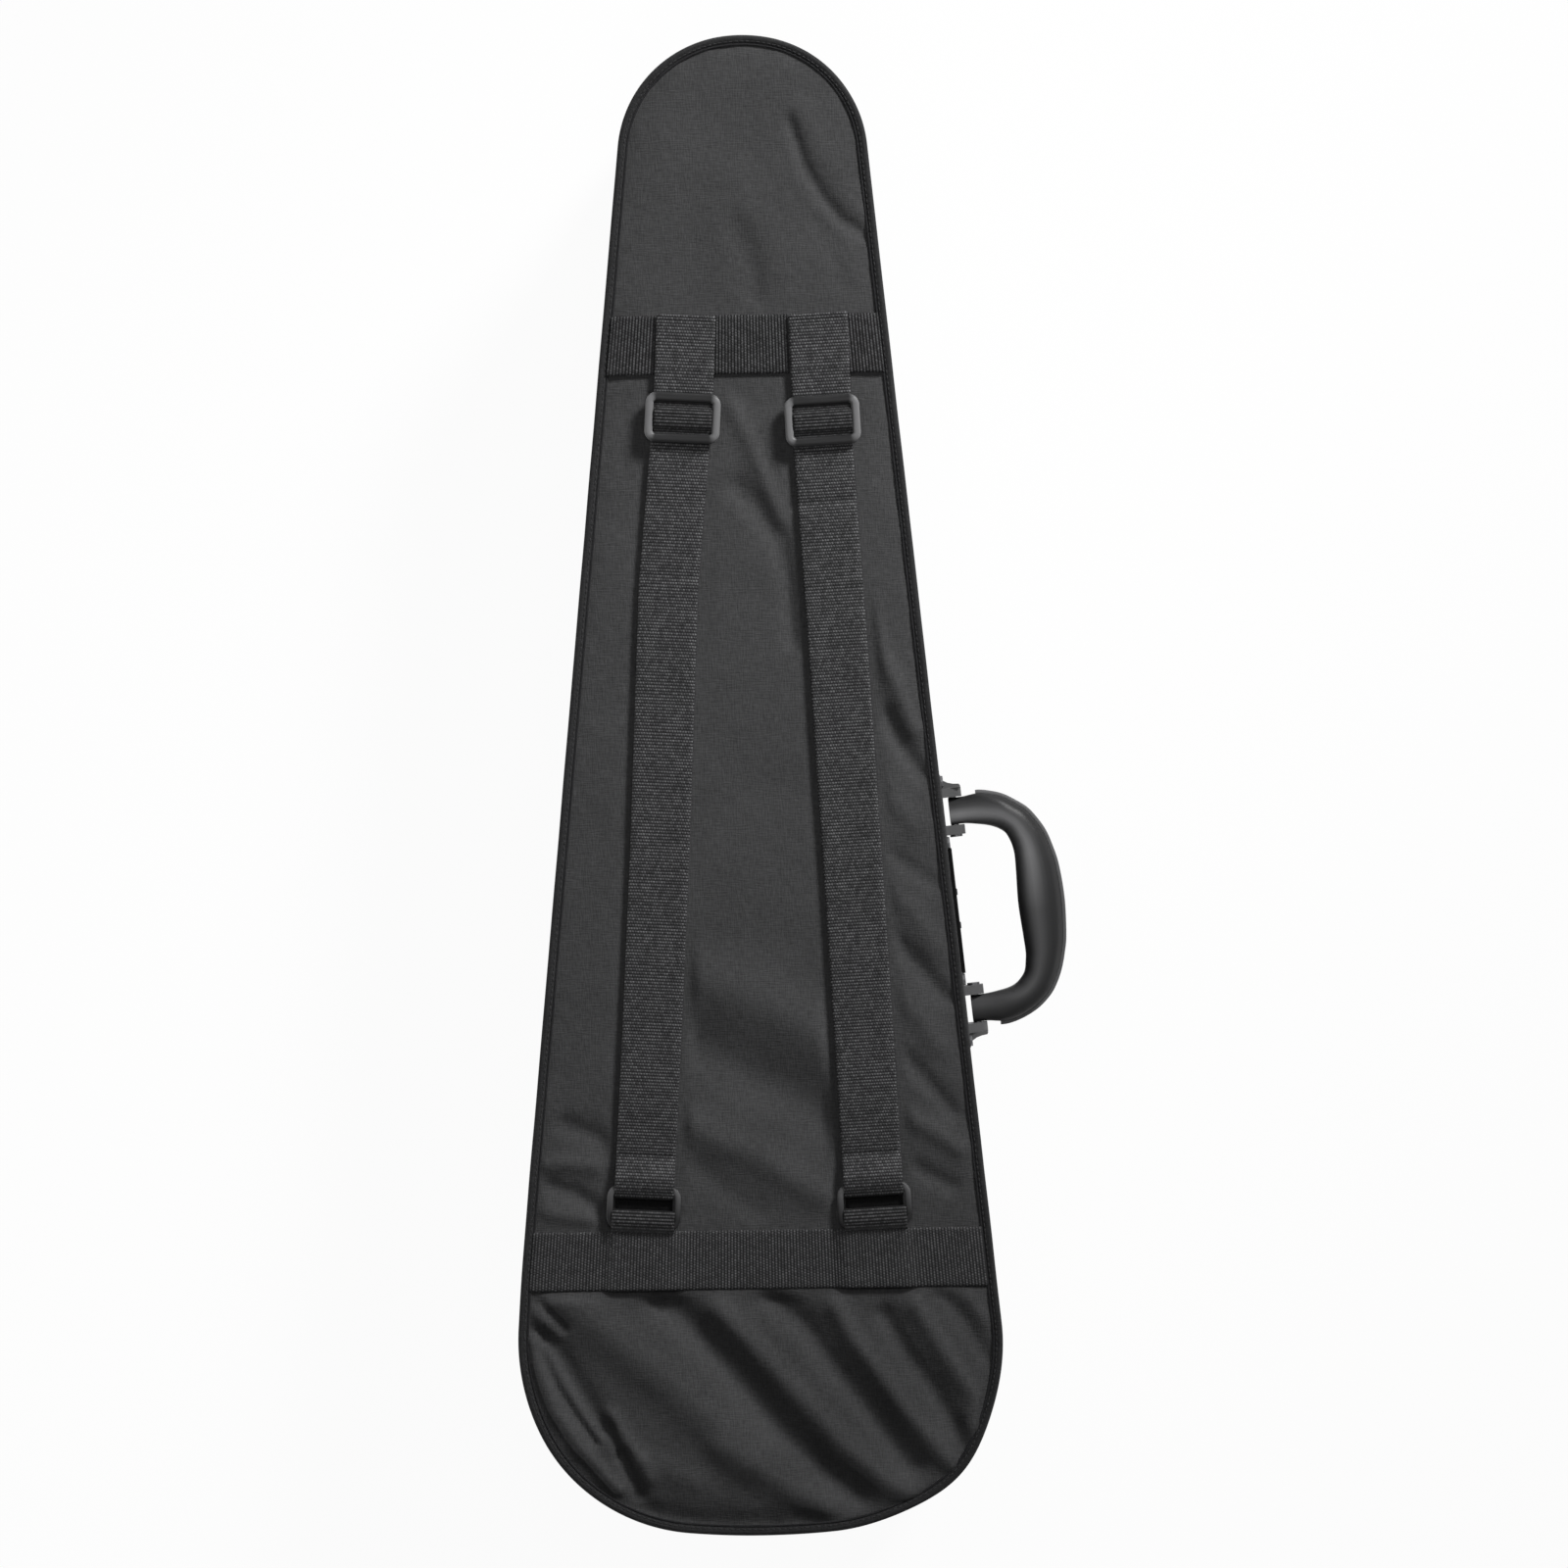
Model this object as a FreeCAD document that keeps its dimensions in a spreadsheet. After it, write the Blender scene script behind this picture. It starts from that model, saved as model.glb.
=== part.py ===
import FreeCAD, Part

import math
import operator
import os
from types import SimpleNamespace

import Sketcher

# Violin case of the oblong, tapered kind, with backpack straps, built as separate pieces.
#
# The closed case lies on its lid, back upwards.  All lengths are millimetres, angles degrees.
#   +Z  from the lid's outer face (z = 0) up to the back that carries the straps
#   +Y  towards the narrow head end, where the scroll of the violin lies
#   +X  towards the side with the carrying handle; the cloth hinge is on the -X side
# The origin is the middle of the outline on the lid's outer face.
#
# An "inset" is a distance inwards from the outline, square to it.  A "depth" is a distance
# inwards from the outer face of the lid or of the base.

SIZES = {
    # outline seen from above: two straight tapering sides, and rounded ends of three arcs each
    "case_length": 787,
    "head_half_width": 59.7,
    "tail_half_width": 138.3,
    "head_corner_out": 1.8,
    "head_radius_step": 13,
    "tail_corner_out": 28.8,
    "tail_radius_step": 321,
    # depth of the two halves
    "lid_depth": 58,
    "base_depth": 72,
    "rim_gap": 0.15,
    "soft_gap": 0.1,
    # outer skin
    "canvas_thickness": 1.2,
    "piping_width": 4.5,
    "piping_height": 3,
    "piping_rounding": 1.2,
    "gusset_inset": 1.2,
    "gusset_thickness": 1,
    "gusset_reach": 9,
    # zip and cloth hinge
    "tape_inset": 2.3,
    "tape_thickness": 0.8,
    "tape_reach": 14,
    "teeth_inset": 1.3,
    "teeth_width": 2.6,
    "teeth_height": 2.4,
    "teeth_gap": 0.5,
    "hinge_length": 460,
    "hinge_centre": -8,
    "hinge_gap": 1,
    "hinge_end_gap": 0.4,
    # moulded core and plush lining
    "core_floor": 8,
    "core_inner_inset": 14,
    "rabbet_inset": 7,
    "lining_thickness": 2.5,
    "lining_drop": 0.5,
    "furnishing_gap": 0.2,
    # zip sliders and pulls
    "slider_length": 14,
    "slider_height": 11,
    "slider_spacing": 18,
    "slider_front": 1.6,
    "slider_back": 1.2,
    "slider_gap": 0.4,
    "slider_post_width": 3,
    "slider_post_height": 0.7,
    "slider_ear": 1.4,
    "pull_length": 26,
    "pull_height": 8,
    "pull_thickness": 1.4,
    "pull_lift": 1.6,
    "pull_pin_radius": 0.8,
    "pull_eye_wall": 0.8,
    "running_fit": 0.06,
    # carrying handle and its brackets, placed along the handle side
    "handle_position": -78.5,
    "handle_rise": 36,
    "handle_reach": 58.3,
    "handle_crown": 20,
    "handle_shoulder_out": 47,
    "handle_shoulder": 50,
    "handle_arm_out": 23,
    "handle_arm_bulge": 1.4,
    "handle_neck_out": 13.5,
    "handle_inner_out": 35.6,
    "handle_inner_half": 41.5,
    "handle_crown_radius": 60,
    "handle_shoulder_radius": 22,
    "handle_arm_radius": 18,
    "handle_inner_radius": 9,
    "handle_plate": 5,
    "handle_boss_radius": 5,
    "grip_start": 20,
    "grip_fin": 1.5,
    "grip_thickness": 6,
    "grip_rounding": 2,
    "pivot_out": 6.5,
    "pivot_radius": 2,
    "pivot_head_radius": 3.3,
    "pivot_head": 1.2,
    "arm_width": 14.4,
    "arm_gap": 0.3,
    "bracket_centre": 52.7,
    "bracket_length": 40,
    "bracket_height": 26,
    "bracket_plate": 2.2,
    "bracket_corner": 4,
    "ear_thickness": 5,
    "ear_root": 18,
    "ear_tip": 9,
    "ear_reach": 11.5,
    "ear_rounding": 4,
    "rivet_radius": 1.6,
    "rivet_head_radius": 3,
    "rivet_head": 1.2,
    "rivet_spread": 16.3,
    "rivet_rise": 8.5,
    "backing_thickness": 1.5,
    "backing_margin": 1,
    # webbing, rings and adjusters on the back
    "webbing_width": 31,
    "webbing_thickness": 1.4,
    "strand_gap": 0.2,
    "upper_band_from_head": 162.5,
    "lower_band_from_tail": 145,
    "band_end_inset": 4.8,
    "band_hump_slope": 8,
    "strap_left_foot": 59.5,
    "strap_left_lean": 3.4,
    "strap_left_ring_gap": 0.9,
    "strap_right_foot": 61.3,
    "strap_right_lean": 2.9,
    "strap_right_ring_gap": 0.8,
    "ring_side_gap": 0.2,
    "ring_leg": 2.8,
    "ring_length": 22,
    "ring_bar": 3.2,
    "ring_thickness": 2.6,
    "ring_rounding": 0.8,
    "ring_corner": 4.5,
    "fold_slope": 14,
    "fold_tail": 6,
    "anchor_narrowing": 2,
    "anchor_length": 32,
    "adjuster_drop": 54.1,
    "adjuster_side_gap": 0.8,
    "adjuster_length": 26,
    "adjuster_height": 4,
    "adjuster_rail": 3.2,
    "adjuster_side_rail": 3.2,
    "adjuster_lift": 0.3,
    "adjuster_corner": 4,
    "adjuster_rounding": 1,
    "centre_bar_width": 3.4,
    "centre_bar_thickness": 1.4,
    # violin bed and neck support in the base
    "bed_thickness": 54,
    "bed_floor": 14,
    "lower_bout_radius": 107,
    "lower_bout_from_tail": 131.5,
    "upper_bout_radius": 87,
    "bout_spacing": 168,
    "waist_half_width": 62,
    "neck_channel_half_width": 22,
    "neck_channel_reach": 114,
    "cradle_from_bed": 70,
    "cradle_length": 40,
    "cradle_height": 48,
    "cradle_notch_half_width": 20,
    "cradle_notch_depth": 30,
    "neck_strap_width": 25,
    "neck_strap_half_length": 42,
    "neck_strap_overlap": 12,
    # accessory compartment at the head end of the base
    "compartment_from_head": 143.5,
    "partition_thickness": 6,
    "compartment_depth": 42,
    "accessory_lid_length": 57.7,
    "accessory_lid_half_width": 48,
    "accessory_lid_thickness": 3,
    "accessory_lid_gap": 0.3,
    "leaf_half_width": 40,
    "leaf_length": 16,
    "leaf_thickness": 0.8,
    "leaf_gap": 1.2,
    "tab_half_width": 8,
    "tab_overhang": 4.5,
    "tab_grip": 12,
    # bow holders in the lid
    "bow_spacing": 50,
    "bow_clip_from_tail": 113.5,
    "clip_near": 8,
    "clip_far": 14,
    "clip_length": 14,
    "clip_height": 16,
    "stick_half_width": 4.5,
    "stick_depth": 8,
    "lever_pivot": 9.5,
    "lever_pin_radius": 1.5,
    "lever_head_radius": 2.8,
    "lever_head": 1,
    "lever_end_radius": 3.5,
    "lever_thickness": 3,
    "lever_gap": 0.3,
    "pocket_from_head": 71.5,
    "pocket_height": 14,
    "pocket_wall": 1.2,
}

OPERATIONS = {"+": operator.add, "-": operator.sub, "*": operator.mul, "/": operator.truediv}


class Size:
    """A length or an angle, together with the spreadsheet formula that gives it."""

    def __init__(self, value, formula):
        self.value = value
        self.formula = formula

    def __add__(self, other):
        return combine(self, "+", other)

    def __radd__(self, other):
        return combine(other, "+", self)

    def __sub__(self, other):
        return combine(self, "-", other)

    def __rsub__(self, other):
        return combine(other, "-", self)

    def __mul__(self, other):
        return combine(self, "*", other)

    def __rmul__(self, other):
        return combine(other, "*", self)

    def __truediv__(self, other):
        return combine(self, "/", other)

    def __neg__(self):
        return combine(0, "-", self)


def as_size(number):
    if isinstance(number, Size):
        return number
    return Size(float(number), str(float(number)))


def combine(left, sign, right):
    left = as_size(left)
    right = as_size(right)
    value = OPERATIONS[sign](left.value, right.value)
    return Size(value, f"({left.formula} {sign} {right.formula})")


def cosine(angle):
    return Size(math.cos(math.radians(angle.value)), f"cos({angle.formula} * 1 deg)")


def sine(angle):
    return Size(math.sin(math.radians(angle.value)), f"sin({angle.formula} * 1 deg)")


def arctangent(ratio):
    return Size(math.degrees(math.atan(ratio.value)), f"(atan({ratio.formula}) / 1 deg)")


def square_root(size):
    return Size(math.sqrt(size.value), f"sqrt({size.formula})")


def make_sheet(doc):
    """Write every driving dimension into the spreadsheet, with its name as the alias."""
    sheet = doc.addObject("Spreadsheet::Sheet", "sheet")
    for row, (name, value) in enumerate(SIZES.items(), start=1):
        sheet.set(f"A{row}", name)
        sheet.set(f"B{row}", str(value))
        sheet.setAlias(f"B{row}", name)


doc = FreeCAD.newDocument("violin_case")
make_sheet(doc)
S = SimpleNamespace(**{name: Size(float(value), f"sheet.{name}") for name, value in SIZES.items()})
NODES = []

# ---------------------------------------------------------------- sizes worked out from others

half_length = S.case_length / 2
case_depth = S.lid_depth + S.base_depth
mid_half_width = (S.head_half_width + S.tail_half_width) / 2
side_taper = arctangent((S.tail_half_width - S.head_half_width) / S.case_length)
side_distance = mid_half_width * cosine(side_taper)
handle_height = S.lid_depth + S.handle_rise
panel_inset = S.piping_width + S.soft_gap
core_inset = S.gusset_inset + S.gusset_thickness + S.soft_gap
core_start = S.canvas_thickness + S.soft_gap
rabbet_reach = S.tape_reach + S.soft_gap
lining_start = core_start + S.core_floor + S.soft_gap
lining_inset = S.core_inner_inset + S.soft_gap
room_inset = lining_inset + S.lining_thickness + S.furnishing_gap
room_start = lining_start + S.lining_thickness + S.soft_gap
far_away = S.case_length

# ---------------------------------------------------------------- sketches and features

START, END, CENTRE = range(1, 4)
Y_AXIS, X_AXIS = range(-2, 0)
ORIGIN = (X_AXIS, START)
HALF_TURN = math.degrees(math.pi)
UP = FreeCAD.Vector(0, 0, 1)
PLANES = {"X": ("YZ_Plane", 1), "Y": ("XZ_Plane", -1), "Z": ("XY_Plane", 1)}


def bind(thing, path, size):
    thing.setExpression(path, as_size(size).formula)


def constrain(sketch, size, *what):
    """Add a dimension to a sketch and bind it to its formula."""
    size = as_size(size)
    value = math.radians(size.value) if what[0] == "Angle" else size.value
    index = sketch.addConstraint(Sketcher.Constraint(*what, value))
    bind(sketch, f"Constraints[{index}]", size)


def fix_point(sketch, geometry, point, x, y):
    """Hold one point of a sketch at x, y."""
    constrain(sketch, x, "DistanceX", *ORIGIN, geometry, point)
    constrain(sketch, y, "DistanceY", *ORIGIN, geometry, point)


def polygon(*corners):
    """Closed profile with straight sides."""
    corners = [(as_size(x), as_size(y)) for x, y in corners]

    def add_to(sketch):
        points = [FreeCAD.Vector(x.value, y.value, 0) for x, y in corners]
        first = sketch.GeometryCount
        for start, end in zip(points, points[1:] + points[:1]):
            sketch.addGeometry(Part.LineSegment(start, end), False)
        for i, (x, y) in enumerate(corners):
            following = first + (i + 1) % len(corners)
            join = Sketcher.Constraint("Coincident", first + i, END, following, START)
            sketch.addConstraint(join)
            fix_point(sketch, first + i, START, x, y)

    return add_to


def rectangle(x_low, y_low, x_high, y_high):
    return polygon((x_low, y_low), (x_high, y_low), (x_high, y_high), (x_low, y_high))


def circle(x, y, radius):
    x, y, radius = as_size(x), as_size(y), as_size(radius)

    def add_to(sketch):
        shape = Part.Circle(FreeCAD.Vector(x.value, y.value, 0), UP, radius.value)
        index = sketch.addGeometry(shape, False)
        constrain(sketch, radius, "Radius", index)
        fix_point(sketch, index, CENTRE, x, y)

    return add_to


ENDS = {"head": 1, "tail": -1}


def end_arcs(end, inset):
    """The arcs round one end of the outline, moved inwards by an inset.

    The corner arc touches the straight side and the end arc.  Its centre lies a little out from
    the middle line, and its radius is one step smaller than that of the end arc.
    """
    sign = ENDS[end]
    out = getattr(S, f"{end}_corner_out")
    step = getattr(S, f"{end}_radius_step")
    rise = square_root(step * step - out * out)
    slope = sign * sine(side_taper)
    to_side = side_distance - out * cosine(side_taper)
    corner_radius = (to_side - (half_length - step + rise) * slope) / (1 - slope)
    end_radius = corner_radius + step
    end_y = sign * (half_length - end_radius)
    corner_y = end_y + sign * rise
    return SimpleNamespace(
        corner_x=out.value,
        corner_y=corner_y.value,
        end_y=end_y,
        end_radius=end_radius - inset,
        corner_radius=corner_radius - inset,
        meeting_angle=math.degrees(math.atan2(sign * rise.value, out.value)),
    )


def arc(x, y, radius, start_degrees, end_degrees):
    whole = Part.Circle(FreeCAD.Vector(x, y, 0), UP, radius)
    return Part.ArcOfCircle(whole, math.radians(start_degrees), math.radians(end_degrees))


def side_point(side, end):
    """Where a straight side meets the corner arc; side is 1 on the right and -1 on the left."""
    slope = math.radians(side_taper.value)
    x = end.corner_x + end.corner_radius.value * math.cos(slope)
    y = end.corner_y + end.corner_radius.value * math.sin(slope)
    return FreeCAD.Vector(side * x, y, 0)


def outline(inset):
    """The case's outline, moved inwards by an inset: eight tangent lines and arcs."""
    inset = as_size(inset)
    taper = side_taper.value
    head = end_arcs("head", inset)
    tail = end_arcs("tail", inset)

    def corner(end, side, start, stop):
        return arc(side * end.corner_x, end.corner_y, end.corner_radius.value, start, stop)

    def end_arc(end, start, stop):
        return arc(0, end.end_y.value, end.end_radius.value, start, stop)

    def add_to(sketch):
        head_turn = head.meeting_angle
        tail_turn = tail.meeting_angle
        full_turn = 2 * HALF_TURN
        pieces = [
            Part.LineSegment(side_point(1, tail), side_point(1, head)),
            corner(head, 1, taper, head_turn),
            end_arc(head, head_turn, HALF_TURN - head_turn),
            corner(head, -1, HALF_TURN - head_turn, HALF_TURN - taper),
            Part.LineSegment(side_point(-1, head), side_point(-1, tail)),
            corner(tail, -1, HALF_TURN - taper, HALF_TURN - tail_turn),
            end_arc(tail, HALF_TURN - tail_turn, full_turn + tail_turn),
            corner(tail, 1, full_turn + tail_turn, full_turn + taper),
        ]
        first = sketch.GeometryCount
        for piece in pieces:
            sketch.addGeometry(piece, False)
        for i in range(len(pieces)):
            following = first + (i + 1) % len(pieces)
            sketch.addConstraint(Sketcher.Constraint("Tangent", first + i, END, following, START))
        right, head_right, head_end, head_left = range(first, first + 4)
        left, tail_left, tail_end, tail_right = range(first + 4, first + 8)
        for index, end in ((head_end, head), (tail_end, tail)):
            sketch.addConstraint(Sketcher.Constraint("PointOnObject", index, CENTRE, Y_AXIS))
            constrain(sketch, end.end_y, "DistanceY", *ORIGIN, index, CENTRE)
            constrain(sketch, end.end_radius, "Radius", index)
        for end, corners in ((head, (head_right, head_left)), (tail, (tail_right, tail_left))):
            for index in corners:
                constrain(sketch, end.corner_radius, "Radius", index)
        upright = HALF_TURN / 2
        for index, angle in ((right, upright + side_taper), (left, -upright - side_taper)):
            constrain(sketch, angle, "Angle", index)
            constrain(sketch, side_distance - inset, "Distance", *ORIGIN, index)

    return add_to


def several(*profiles):
    def add_to(sketch):
        for profile in profiles:
            profile(sketch)

    return add_to


def ring(outer_inset, inner_inset):
    return several(outline(outer_inset), outline(inner_inset))


def outside(inset):
    """Everything beyond the outline at an inset."""
    return several(rectangle(-far_away, -far_away, far_away, far_away), outline(inset))


def new_body(name):
    body = doc.addObject("PartDesign::Body", name)
    body.Label = name
    return body


def node(thing, name=None):
    """Mark an object as one of the finished pieces, and label it with the piece's name."""
    if name:
        thing.Label = name
    NODES.append(thing)
    return thing


def draw(body, axis, start, profile):
    """A sketch square to an axis, at a distance from the body's origin."""
    role, sign = PLANES[axis]
    sketch = body.newObject("Sketcher::SketchObject", f"{body.Name}_sketch")
    plane = next(feature for feature in body.Origin.OriginFeatures if feature.Role == role)
    sketch.AttachmentSupport = [(plane, "")]
    sketch.MapMode = "FlatFace"
    bind(sketch, "AttachmentOffset.Base.z", sign * as_size(start))
    profile(sketch)
    return sketch


def add(body, axis, profile, start, length):
    """Pad a profile from start along an axis."""
    sketch = draw(body, axis, start, profile)
    pad = body.newObject("PartDesign::Pad", f"{body.Name}_pad")
    pad.Profile = sketch
    bind(pad, "Length", length)
    pad.Reversed = PLANES[axis][1] < 0
    sketch.Visibility = False
    return pad


def remove(body, axis, profile, start, length):
    """Cut a profile out of the body from start along an axis."""
    sketch = draw(body, axis, start, profile)
    pocket = body.newObject("PartDesign::Pocket", f"{body.Name}_pocket")
    pocket.Profile = sketch
    bind(pocket, "Length", length)
    pocket.Reversed = PLANES[axis][1] > 0
    sketch.Visibility = False
    return pocket


def round_edges(body, radius, chosen):
    """Fillet the edges of the body so far that the test picks."""
    doc.recompute()
    feature = body.Tip
    names = [f"Edge{i}" for i, edge in enumerate(feature.Shape.Edges, start=1) if chosen(edge)]
    fillet = body.newObject("PartDesign::Fillet", f"{body.Name}_fillet")
    fillet.Base = (feature, names)
    bind(fillet, "Radius", radius)
    return fillet


def spans(edge, axis):
    """How far an edge reaches along one axis."""
    box = edge.BoundBox
    return {"X": box.XLength, "Y": box.YLength, "Z": box.ZLength}[axis]


def parallel(axis):
    """Picks the straight edges that run along an axis."""
    return lambda edge: abs(spans(edge, axis) - edge.Length) < 1e-6


def through(axis, *points):
    """Picks the edges along an axis that pass through one of some points of the other two axes."""
    def chosen(edge):
        middle = edge.BoundBox.Center
        place = {"X": (middle.y, middle.z), "Y": (middle.x, middle.z), "Z": (middle.x, middle.y)}[axis]
        return parallel(axis)(edge) and any(
            math.dist(place, [as_size(value).value for value in point]) < 1e-3 for point in points
        )

    return chosen


def in_plane(axis, *levels):
    """Picks the edges that lie flat at one of some levels of an axis."""
    def chosen(edge):
        middle = {"X": edge.BoundBox.Center.x, "Y": edge.BoundBox.Center.y, "Z": edge.BoundBox.Center.z}
        flat = spans(edge, axis) < 1e-6
        return flat and any(abs(middle[axis] - as_size(level).value) < 1e-3 for level in levels)

    return chosen


def place(thing, x=0, y=0, z=0, turn=0):
    """Move a finished piece, turned about the vertical."""
    bind(thing, "Placement.Base.x", x)
    bind(thing, "Placement.Base.y", y)
    bind(thing, "Placement.Base.z", z)
    bind(thing, "Placement.Rotation.Angle", turn)
    return thing


def on_handle_side(thing):
    """Frame of the handle side: +X out of the case, +Y along the side from the handle's middle."""
    x = side_distance * cosine(side_taper) - S.handle_position * sine(side_taper)
    y = side_distance * sine(side_taper) + S.handle_position * cosine(side_taper)
    return place(thing, x, y, 0, side_taper)


def on_hinge_side(thing):
    """Frame of the hinge side: +X out of the case, +Y along the side towards the tail."""
    x = -side_distance * cosine(side_taper)
    y = side_distance * sine(side_taper)
    return place(thing, x, y, 0, HALF_TURN - side_taper)


def cut_away(base, tool, name):
    cut = doc.addObject("Part::Cut", name)
    cut.Base = base
    cut.Tool = tool
    return cut


# ---------------------------------------------------------------- the two halves of the case

HALVES = {
    "lid": SimpleNamespace(depth=S.lid_depth, panel="lid_front_canvas"),
    "base": SimpleNamespace(depth=S.base_depth, panel="base_back_canvas"),
}
hinge_tail = S.hinge_centre - S.hinge_length / 2
hinge_head = S.hinge_centre + S.hinge_length / 2
hinge_opening = rectangle(
    -far_away,
    side_distance * sine(side_taper) + hinge_tail * cosine(side_taper),
    0,
    side_distance * sine(side_taper) + hinge_head * cosine(side_taper),
)


def layer(body, half, action, profile, depth, thickness):
    """Add or remove a flat layer that starts at a depth inside one half's outer face."""
    start = depth if half == "lid" else case_depth - depth - thickness
    return action(body, "Z", profile, start, thickness)


def core(half):
    """Moulded shell: a floor and a thick wall, stepped for the piping and for the zip's sliders."""
    rim = HALVES[half].depth
    body = new_body(f"{half}_core")
    layer(body, half, add, outline(core_inset), core_start, rim - S.rim_gap - core_start)
    layer(body, half, remove, ring(0, panel_inset), core_start, S.piping_height + S.soft_gap - core_start)
    hollow_start = core_start + S.core_floor
    layer(body, half, remove, outline(S.core_inner_inset), hollow_start, rim - hollow_start)
    layer(body, half, remove, ring(0, S.rabbet_inset), rim - rabbet_reach, rabbet_reach)
    return body


def lining(half):
    """Plush tray that covers the inside of the core."""
    rim = HALVES[half].depth
    body = new_body(f"{half}_lining")
    layer(body, half, add, outline(lining_inset), lining_start, rim - S.lining_drop - lining_start)
    hollow_start = lining_start + S.lining_thickness
    layer(body, half, remove, outline(lining_inset + S.lining_thickness), hollow_start, rim - hollow_start)
    return body


def panel(half):
    """Canvas over the flat outer face."""
    body = new_body(HALVES[half].panel)
    layer(body, half, add, outline(panel_inset), 0, S.canvas_thickness)
    return body


def piping(half):
    """Rounded binding that runs round the edge of the outer face."""
    body = new_body(f"{half}_piping")
    layer(body, half, add, ring(0, S.piping_width), 0, S.piping_height)
    levels = (0, S.piping_height) if half == "lid" else (case_depth, case_depth - S.piping_height)
    round_edges(body, S.piping_rounding, in_plane("Z", *levels))
    return body


def gusset(half):
    """Canvas round the side wall, from the piping to the zip."""
    rim = HALVES[half].depth
    body = new_body(f"{half}_side_canvas")
    start = S.piping_height + S.soft_gap
    profile = ring(S.gusset_inset, S.gusset_inset + S.gusset_thickness)
    layer(body, half, add, profile, start, rim - S.gusset_reach - start)
    return body


def zip_tape(half):
    """Woven tape of the zip, sewn behind the edge of the side canvas; open along the hinge."""
    rim = HALVES[half].depth
    height = S.tape_reach - S.teeth_gap - S.teeth_height
    body = new_body(f"{half}_zip_tape")
    layer(body, half, add, ring(S.tape_inset, S.tape_inset + S.tape_thickness), rim - S.tape_reach, height)
    layer(body, half, remove, hinge_opening, rim - S.tape_reach, height)
    return body


def zip_teeth(half):
    """Row of zip teeth along the edge of the tape; open along the hinge."""
    start = HALVES[half].depth - S.teeth_gap - S.teeth_height
    body = new_body(f"{half}_zip_teeth")
    layer(body, half, add, ring(S.teeth_inset, S.teeth_inset + S.teeth_width), start, S.teeth_height)
    layer(body, half, remove, hinge_opening, start, S.teeth_height)
    return body


def hinge_cloth(half):
    """This half's part of the cloth strip that joins lid and base along the hinge side."""
    rim = HALVES[half].depth
    body = new_body(f"{half}_hinge_cloth")
    outer = -S.tape_inset
    inner = outer - S.tape_thickness
    profile = rectangle(inner, S.hinge_end_gap - hinge_head, outer, -hinge_tail - S.hinge_end_gap)
    layer(body, half, add, profile, rim - S.tape_reach, S.tape_reach - S.hinge_gap)
    return on_hinge_side(body)


def build_halves():
    for part in (panel, piping, zip_tape, zip_teeth, hinge_cloth, lining):
        for half in HALVES:
            node(part(half))
    node(core("lid"))
    node(gusset("lid"))
    fixings = bracket_fixing_space()
    for part in (core, gusset):
        body = part("base")
        name = body.Label
        body.Label = f"{name}_whole"
        node(cut_away(body, fixings, name), name)


# ---------------------------------------------------------------- carrying handle and brackets

bracket_centres = {"head": S.bracket_centre, "tail": -S.bracket_centre}
plate_back = -S.gusset_inset + S.soft_gap
plate_front = plate_back + S.bracket_plate
backing_back = -S.core_inner_inset
bore_radius = S.pivot_radius + S.running_fit


def rivet_points(centre):
    """Where the four rivets of one bracket sit: along the side, and height."""
    return [
        (centre + along * S.rivet_spread, handle_height + up * S.rivet_rise)
        for along in (-1, 1)
        for up in (-1, 1)
    ]


def all_rivets(radius):
    points = [point for centre in bracket_centres.values() for point in rivet_points(centre)]
    return several(*[circle(along, height, radius) for along, height in points])


def bracket_face(centre, margin):
    """The bracket's rectangle on the side wall, smaller by a margin all round."""
    along = S.bracket_length / 2 - margin
    rise = S.bracket_height / 2 - margin
    low = handle_height - rise
    return rectangle(centre - along, low, centre + along, handle_height + rise)


def bracket_fixing_space():
    """Rivet holes and backing plate recesses in the side wall of the base."""
    body = new_body("bracket_fixing_space")
    front = plate_front - backing_back
    add(body, "X", all_rivets(S.rivet_radius + S.running_fit), backing_back, front)
    margin = S.backing_margin - S.soft_gap
    for centre in bracket_centres.values():
        recess = bracket_face(centre, margin)
        add(body, "X", recess, backing_back - S.soft_gap, S.backing_thickness + 2 * S.soft_gap)
    return on_handle_side(body)


def bracket(end):
    """Plate riveted to the side wall, with two ears that carry one pivot pin of the handle."""
    centre = bracket_centres[end]
    body = new_body(f"handle_bracket_{end}")
    plate = bracket_face(centre, as_size(0))
    add(body, "X", plate, plate_back, S.bracket_plate)
    round_edges(body, S.bracket_corner, parallel("X"))
    root = S.ear_root / 2
    tip = S.ear_tip / 2
    ear = polygon(
        (plate_back, handle_height - root),
        (S.ear_reach, handle_height - tip),
        (S.ear_reach, handle_height + tip),
        (plate_back, handle_height + root),
    )
    arm_space = S.arm_width / 2 + S.arm_gap
    for start in (centre - arm_space - S.ear_thickness, centre + arm_space):
        add(body, "Y", ear, start, S.ear_thickness)
    tips = [(S.ear_reach, handle_height - tip), (S.ear_reach, handle_height + tip)]
    round_edges(body, S.ear_rounding, through("Y", *tips))
    span = 2 * (arm_space + S.ear_thickness)
    remove(body, "Y", circle(S.pivot_out, handle_height, bore_radius), centre - span / 2, span)
    rivet_holes = [circle(*point, S.rivet_radius + S.running_fit) for point in rivet_points(centre)]
    remove(body, "X", several(*rivet_holes), plate_back, S.bracket_plate)
    return on_handle_side(body)


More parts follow.
